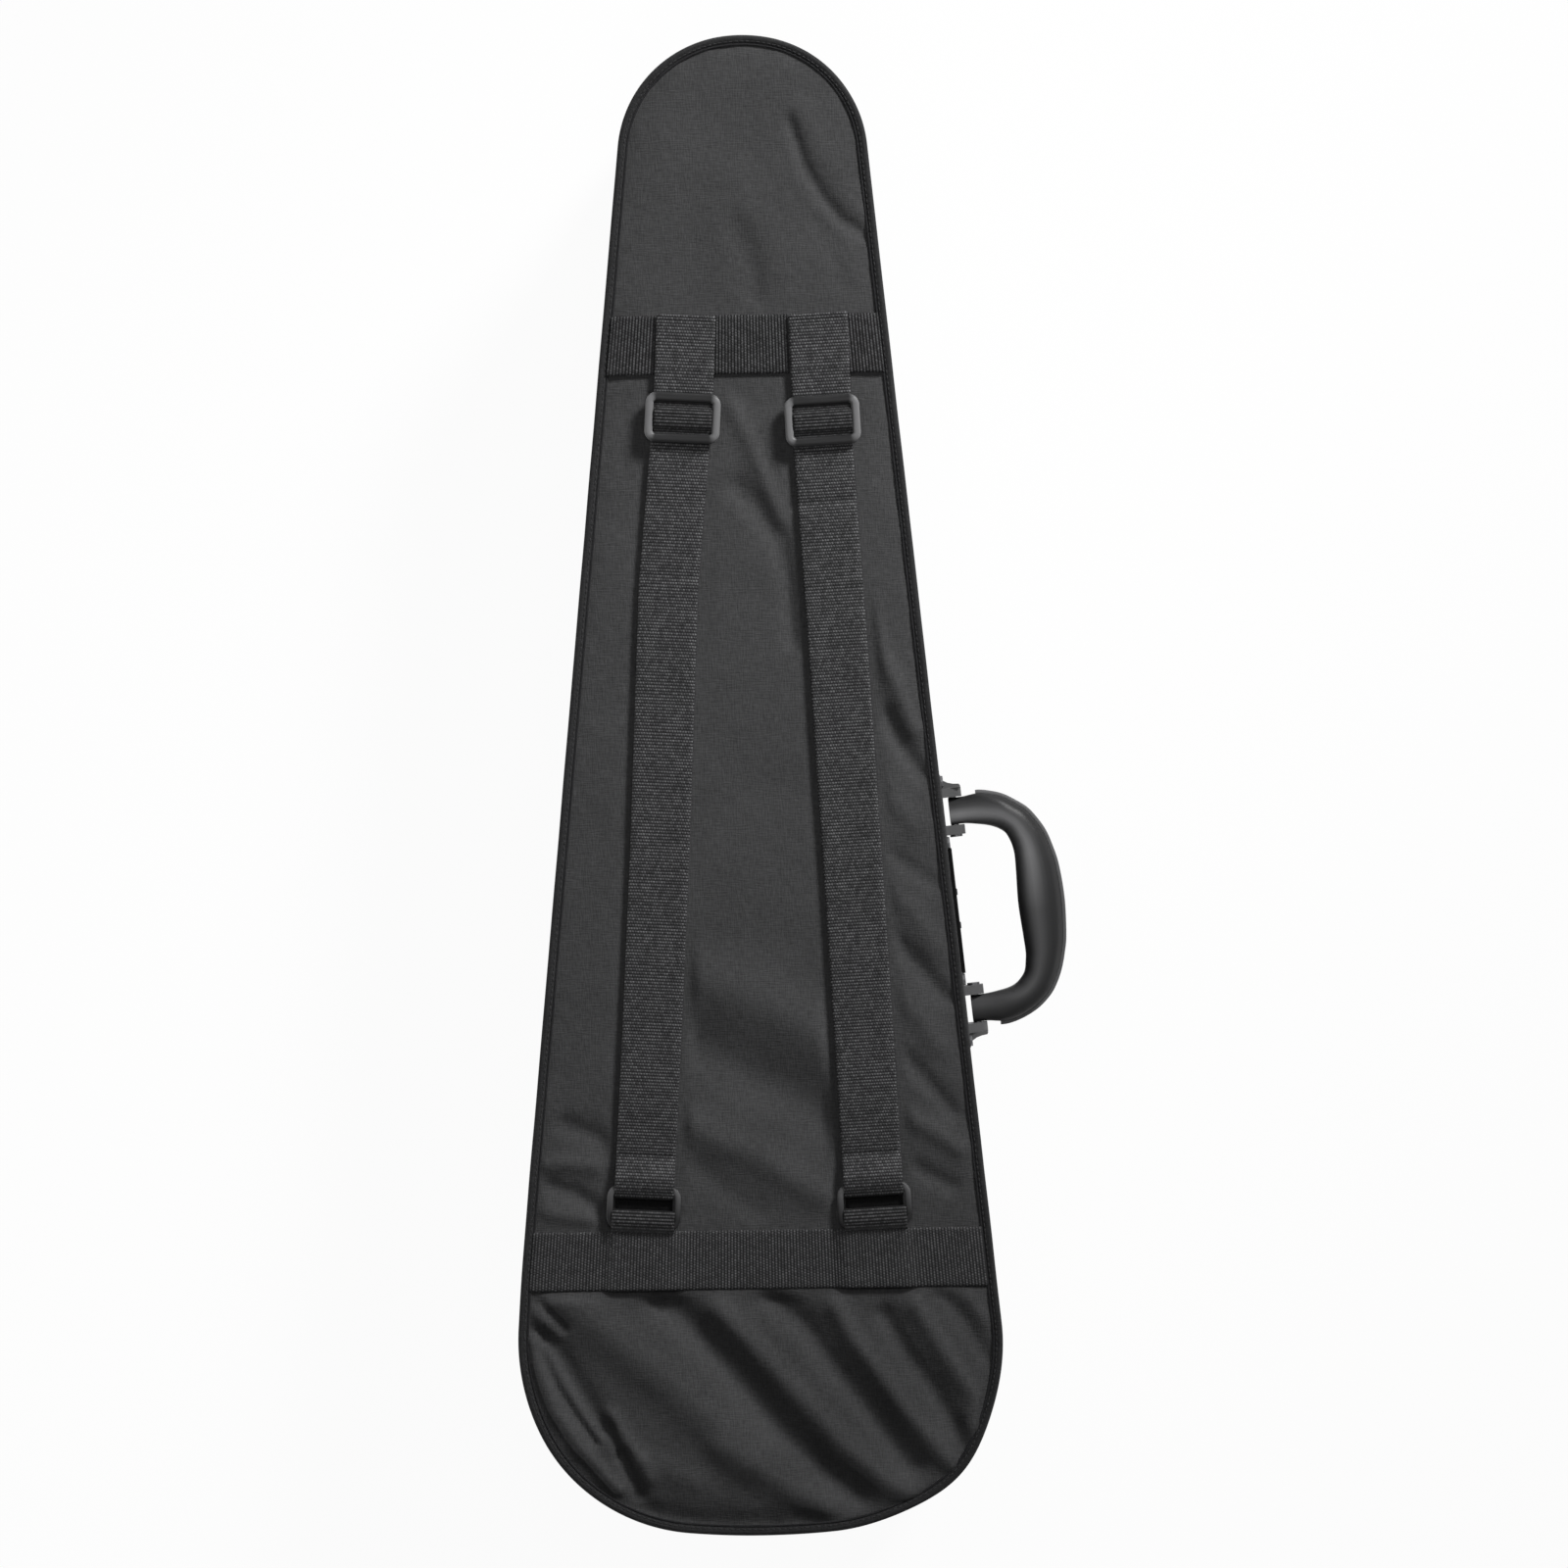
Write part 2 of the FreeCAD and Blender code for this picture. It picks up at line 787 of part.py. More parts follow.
def pivot_pins():
    """The handle's two pivot pins, with a head at each end."""
    body = new_body("handle_pins")
    half_span = S.arm_width / 2 + S.arm_gap + S.ear_thickness
    for centre in bracket_centres.values():
        pin = circle(S.pivot_out, handle_height, S.pivot_radius)
        add(body, "Y", pin, centre - half_span, 2 * half_span)
        head = circle(S.pivot_out, handle_height, S.pivot_head_radius)
        for start in (centre - half_span - S.pivot_head, centre + half_span):
            add(body, "Y", head, start, S.pivot_head)
    return on_handle_side(body)


def rivets():
    """Rivets through the brackets, the side wall and the backing plates."""
    body = new_body("bracket_rivets")
    add(body, "X", all_rivets(S.rivet_radius), backing_back, plate_front - backing_back)
    add(body, "X", all_rivets(S.rivet_head_radius), plate_front, S.rivet_head)
    return on_handle_side(body)


def backing_plates():
    """Plates inside the wall that spread the pull of the brackets."""
    body = new_body("bracket_backing_plates")
    faces = [bracket_face(centre, S.backing_margin) for centre in bracket_centres.values()]
    add(body, "X", several(*faces), backing_back, S.backing_thickness)
    holes = all_rivets(S.rivet_radius + S.running_fit)
    remove(body, "X", holes, backing_back, S.backing_thickness)
    return on_handle_side(body)


def mirrored(points):
    """The points, followed by their mirror images across the handle's middle."""
    return list(points) + [(x, -y) for x, y in reversed(points)]


arm_outer = S.bracket_centre + S.arm_width / 2
arm_inner = S.bracket_centre - S.arm_width / 2


def handle_core():
    """Flat C-shaped plate with a round boss at each end for the pivot pin."""
    body = new_body("handle_core")
    bulge = arm_outer + S.handle_arm_bulge
    outer = mirrored([
        (S.pivot_out, arm_outer),
        (S.handle_neck_out, arm_outer),
        (S.handle_arm_out, bulge),
        (S.handle_shoulder_out, S.handle_shoulder),
        (S.handle_reach, S.handle_crown),
    ])
    inner = mirrored([
        (S.pivot_out, -arm_inner),
        (S.handle_neck_out, -arm_inner),
        (S.handle_inner_out, -S.handle_inner_half),
    ])
    low = handle_height - S.handle_plate / 2
    add(body, "Z", polygon(*outer, *inner), low, S.handle_plate)
    for radius, corners in (
        (S.handle_crown_radius, [(S.handle_reach, S.handle_crown)]),
        (S.handle_shoulder_radius, [(S.handle_shoulder_out, S.handle_shoulder)]),
        (S.handle_arm_radius, [(S.handle_arm_out, bulge)]),
        (S.handle_inner_radius, [(S.handle_inner_out, S.handle_inner_half)]),
    ):
        round_edges(body, radius, through("Z", *mirrored(corners)))
    for centre in bracket_centres.values():
        boss = circle(S.pivot_out, handle_height, S.handle_boss_radius)
        add(body, "Y", boss, centre - S.arm_width / 2, S.arm_width)
        bore = circle(S.pivot_out, handle_height, bore_radius)
        remove(body, "Y", bore, centre - S.arm_width / 2, S.arm_width)
    return on_handle_side(body)


def handle_grip(name, start, far_level):
    """Moulded half shell of the grip, on one face of the plate; the plate's outer edge stands proud."""
    body = new_body(name)
    fin = S.grip_fin
    inner_slope = (arm_inner - S.handle_inner_half) / (S.handle_inner_out - S.handle_neck_out)
    inner_start = arm_inner - inner_slope * (S.grip_start - S.handle_neck_out)
    outer_start = arm_outer + S.handle_arm_bulge - fin
    outer = mirrored([
        (S.grip_start, outer_start),
        (S.handle_arm_out, outer_start),
        (S.handle_shoulder_out - fin, S.handle_shoulder - fin),
        (S.handle_reach - fin, S.handle_crown),
    ])
    inner = mirrored([(S.grip_start, -inner_start), (S.handle_inner_out, -S.handle_inner_half)])
    add(body, "Z", polygon(*outer, *inner), start, S.grip_thickness)
    for radius, corners in (
        (S.handle_crown_radius - fin, [(S.handle_reach - fin, S.handle_crown)]),
        (S.handle_shoulder_radius - fin, [(S.handle_shoulder_out - fin, S.handle_shoulder - fin)]),
        (S.handle_inner_radius, [(S.handle_inner_out, S.handle_inner_half)]),
    ):
        round_edges(body, radius, through("Z", *mirrored(corners)))
    round_edges(body, S.grip_rounding, in_plane("Z", far_level))
    return on_handle_side(body)


def build_handle():
    for end in bracket_centres:
        node(bracket(end))
    node(pivot_pins())
    node(rivets())
    node(backing_plates())
    node(handle_core())
    top = handle_height + S.handle_plate / 2
    bottom = handle_height - S.handle_plate / 2
    node(handle_grip("handle_grip_upper", top, top + S.grip_thickness))
    node(handle_grip("handle_grip_lower", bottom - S.grip_thickness, bottom - S.grip_thickness))


# ---------------------------------------------------------------- zip sliders and their pulls

slider_centres = {"head": S.slider_spacing / 2, "tail": -S.slider_spacing / 2}
front_start = -S.teeth_inset + S.slider_gap
back_end = -S.teeth_inset - S.teeth_width - S.slider_gap
pull_pin_out = front_start + S.slider_front + S.pull_lift + S.pull_thickness / 2
pull_boss_radius = S.pull_pin_radius + S.running_fit + S.pull_eye_wall


def zip_slider(end):
    """Slider: a plate either side of the teeth, a thin post between the rows, and a bridge pin."""
    centre = slider_centres[end]
    parting = S.lid_depth
    body = new_body(f"zip_slider_{end}")
    along = S.slider_length / 2
    rise = S.slider_height / 2
    face = rectangle(centre - along, parting - rise, centre + along, parting + rise)
    add(body, "X", face, front_start, S.slider_front)
    post_along = S.slider_post_width / 2
    post_rise = S.slider_post_height / 2
    post = rectangle(
        centre - post_along,
        parting - post_rise,
        centre + post_along,
        parting + post_rise,
    )
    add(body, "X", post, back_end - S.slider_back, front_start - back_end + S.slider_back)
    add(body, "X", face, back_end - S.slider_back, S.slider_back)
    ear_start = S.pull_height / 2 + S.soft_gap
    ear = rectangle(
        front_start,
        centre - pull_boss_radius,
        pull_pin_out + pull_boss_radius,
        centre + pull_boss_radius,
    )
    for low in (parting + ear_start, parting - ear_start - S.slider_ear):
        add(body, "Z", ear, low, S.slider_ear)
    pin_reach = ear_start + S.slider_ear
    add(body, "Z", circle(pull_pin_out, centre, S.pull_pin_radius), parting - pin_reach, 2 * pin_reach)
    return on_handle_side(body)


def zip_pull(end):
    """Flat pull with an eye round the slider's bridge pin; it points away from the other slider."""
    centre = slider_centres[end]
    away = ENDS[end]
    body = new_body(f"zip_pull_{end}")
    low = S.lid_depth - S.pull_height / 2
    add(body, "Z", circle(pull_pin_out, centre, pull_boss_radius), low, S.pull_height)
    half = S.pull_thickness / 2
    tip = centre + away * S.pull_length
    tongue = rectangle(pull_pin_out - half, centre, pull_pin_out + half, tip)
    add(body, "Z", tongue, low, S.pull_height)
    eye = circle(pull_pin_out, centre, S.pull_pin_radius + S.running_fit)
    remove(body, "Z", eye, low, S.pull_height)
    return on_handle_side(body)


def build_zip_sliders():
    for end in slider_centres:
        node(zip_slider(end))
        node(zip_pull(end))


# ---------------------------------------------------------------- webbing on the back

band_top = case_depth + S.webbing_thickness
upper_strand = band_top + S.strand_gap
ring_low = band_top + S.soft_gap
ring_top = ring_low + S.ring_thickness
bar_centre = (S.ring_length - S.ring_bar) / 2
leg_thickness = 2 * S.webbing_thickness + S.soft_gap

upper_band_y = half_length - S.upper_band_from_head
lower_band_y = S.lower_band_from_tail - half_length
anchor_width = S.webbing_width - S.anchor_narrowing
anchor_loop_reach = bar_centre + S.ring_bar / 2 + S.soft_gap + S.webbing_thickness
lowest_ring_y = lower_band_y + S.webbing_width / 2 + anchor_loop_reach

STRAPS = {
    "left": SimpleNamespace(
        foot=-S.strap_left_foot,
        lean=-S.strap_left_lean,
        ring_y=lowest_ring_y + S.strap_left_ring_gap,
    ),
    "right": SimpleNamespace(
        foot=S.strap_right_foot,
        lean=S.strap_right_lean,
        ring_y=lowest_ring_y + S.strap_right_ring_gap,
    ),
}


def on_strap(thing, side):
    """Frame of one strap: +Y from its ring up the strap, which leans towards the middle."""
    strap = STRAPS[side]
    return place(thing, strap.foot, strap.ring_y, 0, strap.lean)


def strap_end(side):
    """The head end of a strap, level with the upper band's top edge."""
    strap = STRAPS[side]
    return (upper_band_y + S.webbing_width / 2 - strap.ring_y) / cosine(strap.lean)


def adjuster_middle(side):
    return strap_end(side) - S.adjuster_drop


def across(width):
    """Start and length of a pad that spans a width, centred."""
    return -as_size(width) / 2, as_size(width)


def upper_band():
    """Flat webbing band sewn across the back at the head end."""
    body = new_body("upper_band")
    half = S.webbing_width / 2
    face = rectangle(-far_away, upper_band_y - half, far_away, upper_band_y + half)
    add(body, "Z", face, case_depth, S.webbing_thickness)
    remove(body, "Z", outside(S.band_end_inset), case_depth, S.webbing_thickness)
    return body


def lower_band():
    """Webbing band across the tail end; it rises over the two legs that hold the rings."""
    body = new_body("lower_band")
    low = case_depth
    high = case_depth + leg_thickness + S.strand_gap
    half_hump = anchor_width / 2 + 2 * S.strand_gap + S.webbing_thickness
    lower_edge = []
    for strap in STRAPS.values():
        middle = strap.foot - sine(strap.lean) * (lower_band_y - strap.ring_y)
        lower_edge += [
            (middle - half_hump - S.band_hump_slope, low),
            (middle - half_hump, high),
            (middle + half_hump, high),
            (middle + half_hump + S.band_hump_slope, low),
        ]
    upper_edge = [(x, z + S.webbing_thickness) for x, z in reversed(lower_edge)]
    ends = S.tail_half_width
    profile = polygon(
        (-ends, low),
        *lower_edge,
        (ends, low),
        (ends, low + S.webbing_thickness),
        *upper_edge,
        (-ends, low + S.webbing_thickness),
    )
    add(body, "Y", profile, lower_band_y - S.webbing_width / 2, S.webbing_width)
    remove(body, "Z", outside(S.band_end_inset), case_depth, leg_thickness + 2 * S.webbing_thickness)
    return body


def strap(side):
    """Upper strand, from the top edge of the upper band to the fold round the ring's upper bar."""
    body = new_body(f"strap_{side}")
    web = S.webbing_thickness
    head_end = strap_end(side)
    inner_fold = bar_centre - S.ring_bar / 2 - S.soft_gap
    outer_fold = inner_fold - web
    bar_end = bar_centre + S.ring_bar / 2
    over_bar = ring_top + S.soft_gap
    slope_end = bar_end + S.fold_slope
    stub_end = bar_end + S.fold_tail
    profile = polygon(
        (head_end, upper_strand),
        (head_end, upper_strand + web),
        (slope_end, upper_strand + web),
        (bar_end, over_bar + web),
        (outer_fold, over_bar + web),
        (outer_fold, case_depth),
        (stub_end, case_depth),
        (stub_end, band_top),
        (inner_fold, band_top),
        (inner_fold, over_bar),
        (bar_end, over_bar),
        (slope_end, upper_strand),
    )
    add(body, "X", profile, *across(S.webbing_width))
    return on_strap(body, side)


def underlayer(side):
    """Lower strand, which comes back from the ring to the adjuster under the upper one."""
    body = new_body(f"strap_{side}_underlayer")
    start = bar_centre + S.ring_bar / 2 + S.fold_tail + S.soft_gap
    half = S.webbing_width / 2
    face = rectangle(-half, start, half, adjuster_middle(side))
    add(body, "Z", face, case_depth, S.webbing_thickness)
    return on_strap(body, side)


def strap_ring(side):
    """Rectangular ring at the foot of a strap."""
    body = new_body(f"ring_{side}")
    window_x = S.webbing_width / 2 + S.ring_side_gap
    window_y = S.ring_length / 2 - S.ring_bar
    x = window_x + S.ring_leg
    y = S.ring_length / 2
    add(body, "Z", rectangle(-x, -y, x, y), ring_low, S.ring_thickness)
    round_edges(body, S.ring_corner, parallel("Z"))
    window = rectangle(-window_x, -window_y, window_x, window_y)
    remove(body, "Z", window, ring_low, S.ring_thickness)
    round_edges(body, S.ring_rounding, in_plane("Z", ring_low, ring_top))
    return on_strap(body, side)


def ring_anchor(side):
    """Webbing loop round the ring's lower bar, with both legs sewn under the lower band."""
    body = new_body(f"ring_anchor_{side}")
    web = S.webbing_thickness
    bar_near = -(bar_centre - S.ring_bar / 2)
    bar_far = -(bar_centre + S.ring_bar / 2)
    over_bar = ring_top + S.soft_gap
    far_end = bar_far - S.anchor_length
    outer = polygon(
        (bar_near + S.soft_gap + web, case_depth),
        (bar_near + S.soft_gap + web, over_bar + web),
        (bar_far, over_bar + web),
        (bar_far - S.soft_gap - web, case_depth + leg_thickness),
        (far_end, case_depth + leg_thickness),
        (far_end, case_depth),
    )
    add(body, "X", outer, *across(anchor_width))
    hole = rectangle(bar_far - S.soft_gap, band_top, bar_near + S.soft_gap, over_bar)
    remove(body, "X", hole, *across(anchor_width))
    return on_strap(body, side)


adjuster_low = upper_strand + S.webbing_thickness + S.adjuster_lift
wrap_low = adjuster_low + S.soft_gap
bar_low = wrap_low + S.webbing_thickness + S.soft_gap
window_half_width = S.webbing_width / 2 + S.adjuster_side_gap


def adjuster(side):
    """Three-bar slide: a rounded frame with a lower bar across its window."""
    body = new_body(f"adjuster_{side}")
    middle = adjuster_middle(side)
    x = window_half_width + S.adjuster_side_rail
    y = S.adjuster_length / 2
    frame = rectangle(-x, middle - y, x, middle + y)
    add(body, "Z", frame, adjuster_low, S.adjuster_height)
    round_edges(body, S.adjuster_corner, parallel("Z"))
    reach = y - S.adjuster_rail
    window = rectangle(-window_half_width, middle - reach, window_half_width, middle + reach)
    remove(body, "Z", window, adjuster_low, S.adjuster_height)
    round_edges(body, S.adjuster_rounding, in_plane("Z", adjuster_low + S.adjuster_height))
    bar_half = S.centre_bar_width / 2
    bar_reach = window_half_width + S.adjuster_side_rail / 2
    bar = rectangle(-bar_reach, middle - bar_half, bar_reach, middle + bar_half)
    add(body, "Z", bar, bar_low, S.centre_bar_thickness)
    return on_strap(body, side)


def adjuster_wrap(side):
    """End of the lower strand, sewn in a loop round the adjuster's centre bar."""
    body = new_body(f"adjuster_wrap_{side}")
    middle = adjuster_middle(side)
    gap = S.soft_gap
    web = S.webbing_thickness
    hole_half = S.centre_bar_width / 2 + gap
    top = bar_low + S.centre_bar_thickness + gap + web
    width = 2 * (window_half_width - gap)
    loop = rectangle(middle - hole_half - web, wrap_low, middle + hole_half + web, top)
    add(body, "X", loop, *across(width))
    hole = rectangle(middle - hole_half, bar_low - gap, middle + hole_half, top - web)
    remove(body, "X", hole, *across(width))
    return on_strap(body, side)


def build_webbing():
    node(upper_band())
    node(lower_band())
    for side in STRAPS:
        for piece in (strap, underlayer, strap_ring, ring_anchor, adjuster, adjuster_wrap):
            node(piece(side))


# ---------------------------------------------------------------- furnishings of the base

furnishing_top = case_depth - room_start
bed_opening_face = furnishing_top - S.bed_thickness
compartment_face = furnishing_top - S.compartment_depth
lower_bout_y = S.lower_bout_from_tail - half_length
upper_bout_y = lower_bout_y + S.bout_spacing
bed_head_y = upper_bout_y + S.neck_channel_reach
cradle_y = bed_head_y + S.cradle_from_bed
compartment_y = half_length - S.compartment_from_head
accessory_hinge_y = compartment_y + S.accessory_lid_length + S.accessory_lid_gap


def furnishing(name, height, low_y, high_y):
    """Block that fills the base from side to side between two stations, down from its lining."""
    body = new_body(name)
    low = furnishing_top - height
    add(body, "Z", outline(room_inset), low, height)
    if low_y is not None:
        remove(body, "Z", rectangle(-far_away, -far_away, far_away, low_y), low, height)
    if high_y is not None:
        remove(body, "Z", rectangle(-far_away, high_y, far_away, far_away), low, height)
    return body


def violin_bed():
    """Padded bed with a recess shaped like the violin's body."""
    body = furnishing("violin_bed", S.bed_thickness, None, bed_head_y)
    depth = S.bed_thickness - S.bed_floor
    waist = rectangle(-S.waist_half_width, lower_bout_y, S.waist_half_width, upper_bout_y)
    channel_half = S.neck_channel_half_width
    channel = rectangle(-channel_half, upper_bout_y, channel_half, bed_head_y)
    for profile in (
        circle(0, lower_bout_y, S.lower_bout_radius),
        circle(0, upper_bout_y, S.upper_bout_radius),
        waist,
        channel,
    ):
        remove(body, "Z", profile, bed_opening_face, depth)
    return body


def neck_cradle():
    """Block with a notch that carries the violin's neck."""
    half = S.cradle_length / 2
    body = furnishing("neck_cradle", S.cradle_height, cradle_y - half, cradle_y + half)
    x = S.cradle_notch_half_width
    notch = rectangle(-x, cradle_y - half, x, cradle_y + half)
    remove(body, "Z", notch, furnishing_top - S.cradle_height, S.cradle_notch_depth)
    return body


def neck_strap(name, low_x, high_x, layer_number):
    """One half of the hook-and-loop strap that closes over the neck."""
    body = new_body(name)
    half = S.neck_strap_width / 2
    face = rectangle(low_x, cradle_y - half, high_x, cradle_y + half)
    low = furnishing_top - S.cradle_height - layer_number * (S.webbing_thickness + S.soft_gap)
    add(body, "Z", face, low, S.webbing_thickness)
    return body


def accessory_partition():
    """Wall between the violin's scroll and the accessory compartment; the small lid rests on it."""
    low_y = compartment_y
    height = S.compartment_depth - S.accessory_lid_thickness - S.soft_gap
    return furnishing("accessory_partition", height, low_y, low_y + S.partition_thickness)


def head_block():
    """Block that fills the head end behind the compartment."""
    low_y = accessory_hinge_y + S.accessory_lid_gap
    return furnishing("head_block", S.compartment_depth, low_y, None)


def accessory_lid():
    body = new_body("accessory_lid")
    x = S.accessory_lid_half_width
    y = compartment_y
    face = rectangle(-x, y, x, y + S.accessory_lid_length)
    add(body, "Z", face, compartment_face, S.accessory_lid_thickness)
    return body


def small_leaf(name, half_width, low_y, high_y):
    """Strip of cloth on the outer face of the accessory lid or of the head block."""
    body = new_body(name)
    face = rectangle(-half_width, low_y, half_width, high_y)
    add(body, "Z", face, compartment_face - S.leaf_thickness, S.leaf_thickness)
    return body


def build_furnishings():
    node(violin_bed())
    node(neck_cradle())
    reach = S.neck_strap_half_length
    node(neck_strap("neck_strap_loop", -reach, S.neck_strap_overlap, 1))
    node(neck_strap("neck_strap_hook", -S.neck_strap_overlap, reach, 2))
    node(accessory_partition())
    node(head_block())
    node(accessory_lid())
    y = accessory_hinge_y
    half = S.leaf_half_width
    node(small_leaf("accessory_hinge_fixed", half, y + S.leaf_gap, y + S.leaf_gap + S.leaf_length))
    node(small_leaf("accessory_hinge_moving", half, y - S.leaf_gap - S.leaf_length, y - S.leaf_gap))
    tab_start = compartment_y - S.tab_overhang
    tab_end = compartment_y + S.tab_grip
    node(small_leaf("accessory_lid_tab", S.tab_half_width, tab_start, tab_end))


# ---------------------------------------------------------------- bow holders in the lid

BOW_SIDES = {"left": -1, "right": 1}
bow_clip_y = S.bow_clip_from_tail - half_length
pocket_y = half_length - S.pocket_from_head
clip_top = room_start + S.clip_height


def bow_clip_block(side):
    """Block with a notch for the bow's stick and a bore for the lever's pin."""
    out = BOW_SIDES[side]
    middle = out * S.bow_spacing
    body = new_body(f"bow_clip_block_{side}")
    half = S.clip_length / 2
    near = middle - out * S.clip_near
    far = middle + out * S.clip_far
    face = rectangle(near, bow_clip_y - half, far, bow_clip_y + half)
    add(body, "Z", face, room_start, S.clip_height)
    stick = S.stick_half_width
    notch = rectangle(middle - stick, bow_clip_y - half, middle + stick, bow_clip_y + half)
    remove(body, "Z", notch, clip_top - S.stick_depth, S.stick_depth)
    pivot = circle(middle + out * S.lever_pivot, bow_clip_y, S.lever_pin_radius)
    remove(body, "Z", pivot, room_start + S.clip_height / 2, S.clip_height)
    return body


lever_low = clip_top + S.lever_gap
lever_top = lever_low + S.lever_thickness


def bow_clip_pins():
    """Pins that the two levers turn on."""
    body = new_body("bow_clip_pins")
    start = room_start + S.clip_height / 2
    head_start = lever_top + S.lever_gap
    for out in BOW_SIDES.values():
        x = out * (S.bow_spacing + S.lever_pivot)
        add(body, "Z", circle(x, bow_clip_y, S.lever_pin_radius), start, head_start - start)
        add(body, "Z", circle(x, bow_clip_y, S.lever_head_radius), head_start, S.lever_head)
    return body


def bow_clip_lever(side):
    """Lever that turns across the notch and keeps the bow in it."""
    out = BOW_SIDES[side]
    pivot = out * (S.bow_spacing + S.lever_pivot)
    tip = out * (S.bow_spacing - S.clip_near)
    body = new_body(f"bow_clip_lever_{side}")
    half = S.lever_end_radius
    arm = rectangle(tip, bow_clip_y - half, pivot, bow_clip_y + half)
    add(body, "Z", arm, lever_low, S.lever_thickness)
    add(body, "Z", circle(pivot, bow_clip_y, half), lever_low, S.lever_thickness)
    bore = circle(pivot, bow_clip_y, S.lever_pin_radius + S.running_fit)
    remove(body, "Z", bore, lever_low, S.lever_thickness)
    return body


def bow_tip_pocket():
    """Flat pocket at the head end of the lid that takes the tips of the bows."""
    body = new_body("bow_tip_pocket")
    add(body, "Z", outline(room_inset), room_start, S.pocket_height)
    cut = rectangle(-far_away, -far_away, far_away, pocket_y)
    remove(body, "Z", cut, room_start, S.pocket_height)
    hollow = S.pocket_height - 2 * S.pocket_wall
    remove(body, "Z", outline(room_inset + S.pocket_wall), room_start + S.pocket_wall, hollow)
    return body


def build_bow_holders():
    for side in BOW_SIDES:
        node(bow_clip_block(side))
        node(bow_clip_lever(side))
    node(bow_clip_pins())
    node(bow_tip_pocket())


# ---------------------------------------------------------------- checks and files


def check_model():
    """Stop if a feature failed, a pocket cut nothing, or a piece has no valid solid."""
    for thing in doc.Objects:
        if "Invalid" in thing.State or "Error" in thing.State:
            raise RuntimeError(f"{thing.Label} failed")
        if thing.TypeId == "PartDesign::Pocket":
            if thing.Shape.Volume > thing.BaseFeature.Shape.Volume - 1e-3:
                raise RuntimeError(f"{thing.Label} cut nothing")
    for piece in NODES:
        if piece.Shape.isNull() or not piece.Shape.isValid() or not piece.Shape.Solids:
            raise RuntimeError(f"{piece.Label} has no valid solid")


def write_steps():
    os.makedirs("parts", exist_ok=True)
    for piece in NODES:
        piece.Shape.exportStep(f"parts/{piece.Label}.step")
        box = piece.Shape.BoundBox
        print(f"{piece.Label}: {len(piece.Shape.Solids)} solids, {piece.Shape.Volume / 1000:.2f} cm3, "
              f"{box.XLength:.1f} x {box.YLength:.1f} x {box.ZLength:.1f}")


build_halves()
build_handle()
build_zip_sliders()
build_webbing()
build_furnishings()
build_bow_holders()
doc.recompute()
check_model()
write_steps()
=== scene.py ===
import math

import bmesh
import bpy
import numpy as np
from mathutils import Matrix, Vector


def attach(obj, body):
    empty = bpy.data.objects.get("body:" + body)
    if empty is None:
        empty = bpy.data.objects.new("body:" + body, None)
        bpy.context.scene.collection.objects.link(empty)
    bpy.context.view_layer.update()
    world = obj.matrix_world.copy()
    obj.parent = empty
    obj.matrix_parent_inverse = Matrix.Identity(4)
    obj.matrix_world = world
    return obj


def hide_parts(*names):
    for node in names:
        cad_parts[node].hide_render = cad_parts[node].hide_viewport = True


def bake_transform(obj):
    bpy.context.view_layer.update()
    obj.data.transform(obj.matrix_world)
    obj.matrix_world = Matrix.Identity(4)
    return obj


# A soft violin case that lies on its lid, seen from above its back.  Lengths in this script are
# millimetres until a mesh is made.  +Y is the narrow head end, +X the handle's side.

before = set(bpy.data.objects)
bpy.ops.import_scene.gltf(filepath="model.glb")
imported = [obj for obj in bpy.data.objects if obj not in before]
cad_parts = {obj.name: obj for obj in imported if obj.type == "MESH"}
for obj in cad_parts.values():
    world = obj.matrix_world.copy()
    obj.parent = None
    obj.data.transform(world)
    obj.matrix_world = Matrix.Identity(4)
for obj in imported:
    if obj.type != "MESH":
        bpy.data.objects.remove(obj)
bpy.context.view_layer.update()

# ---------------------------------------------------------------- the case's measures

HALF_LENGTH = 393.5
HEAD_HALF_WIDTH, MEAN_HALF_WIDTH, TAIL_HALF_WIDTH = 59.7, 99, 138.3
TAPER = math.atan((TAIL_HALF_WIDTH - HEAD_HALF_WIDTH) / (2 * HALF_LENGTH))
SIDE = MEAN_HALF_WIDTH * math.cos(TAPER)
SIDE_NORMAL = np.array((math.cos(TAPER), math.sin(TAPER)))
SIDE_ALONG = np.array((-math.sin(TAPER), math.cos(TAPER)))
UP = np.array((0, 0, 1.0))
# Heights above the floor: the zip's middle line, the back panel and the handle's pivots.
SEAM = 58
BACK = 130
HANDLE_HEIGHT = 94
# Where the handle's middle is along its side, from the case's own middle.
HANDLE_ALONG = -78.5
# Each strap: where its ring is, how it leans, how far along it ends and where its adjuster is.
STRAPS = {
    "left": {"foot": (-59.5, -219.6), "lean": math.radians(-3.4), "end": 466.9, "adjuster": 412.8},
    "right": {"foot": (61.3, -219.7), "lean": math.radians(2.9), "end": 466.8, "adjuster": 412.7},
}
UPPER_BAND_Y = 231
LOWER_BAND_Y = -248.5
# Width of the straps and bands, and the distance between their ribs.
WEB = 31
RIB_PITCH = 1.65


def end_arcs(sign, out, step):
    """Corner and end arcs of one end of the outline: centres, radii and where they meet."""
    rise = math.sqrt(step * step - out * out)
    slope = sign * math.sin(TAPER)
    corner = (SIDE - out * math.cos(TAPER) - (HALF_LENGTH - step + rise) * slope) / (1 - slope)
    end_y = sign * (HALF_LENGTH - corner - step)
    return (out, end_y + sign * rise), corner, (0, end_y), corner + step, math.atan2(sign * rise, out)


HEAD = end_arcs(1, 1.8, 13)
TAIL = end_arcs(-1, 28.8, 321)


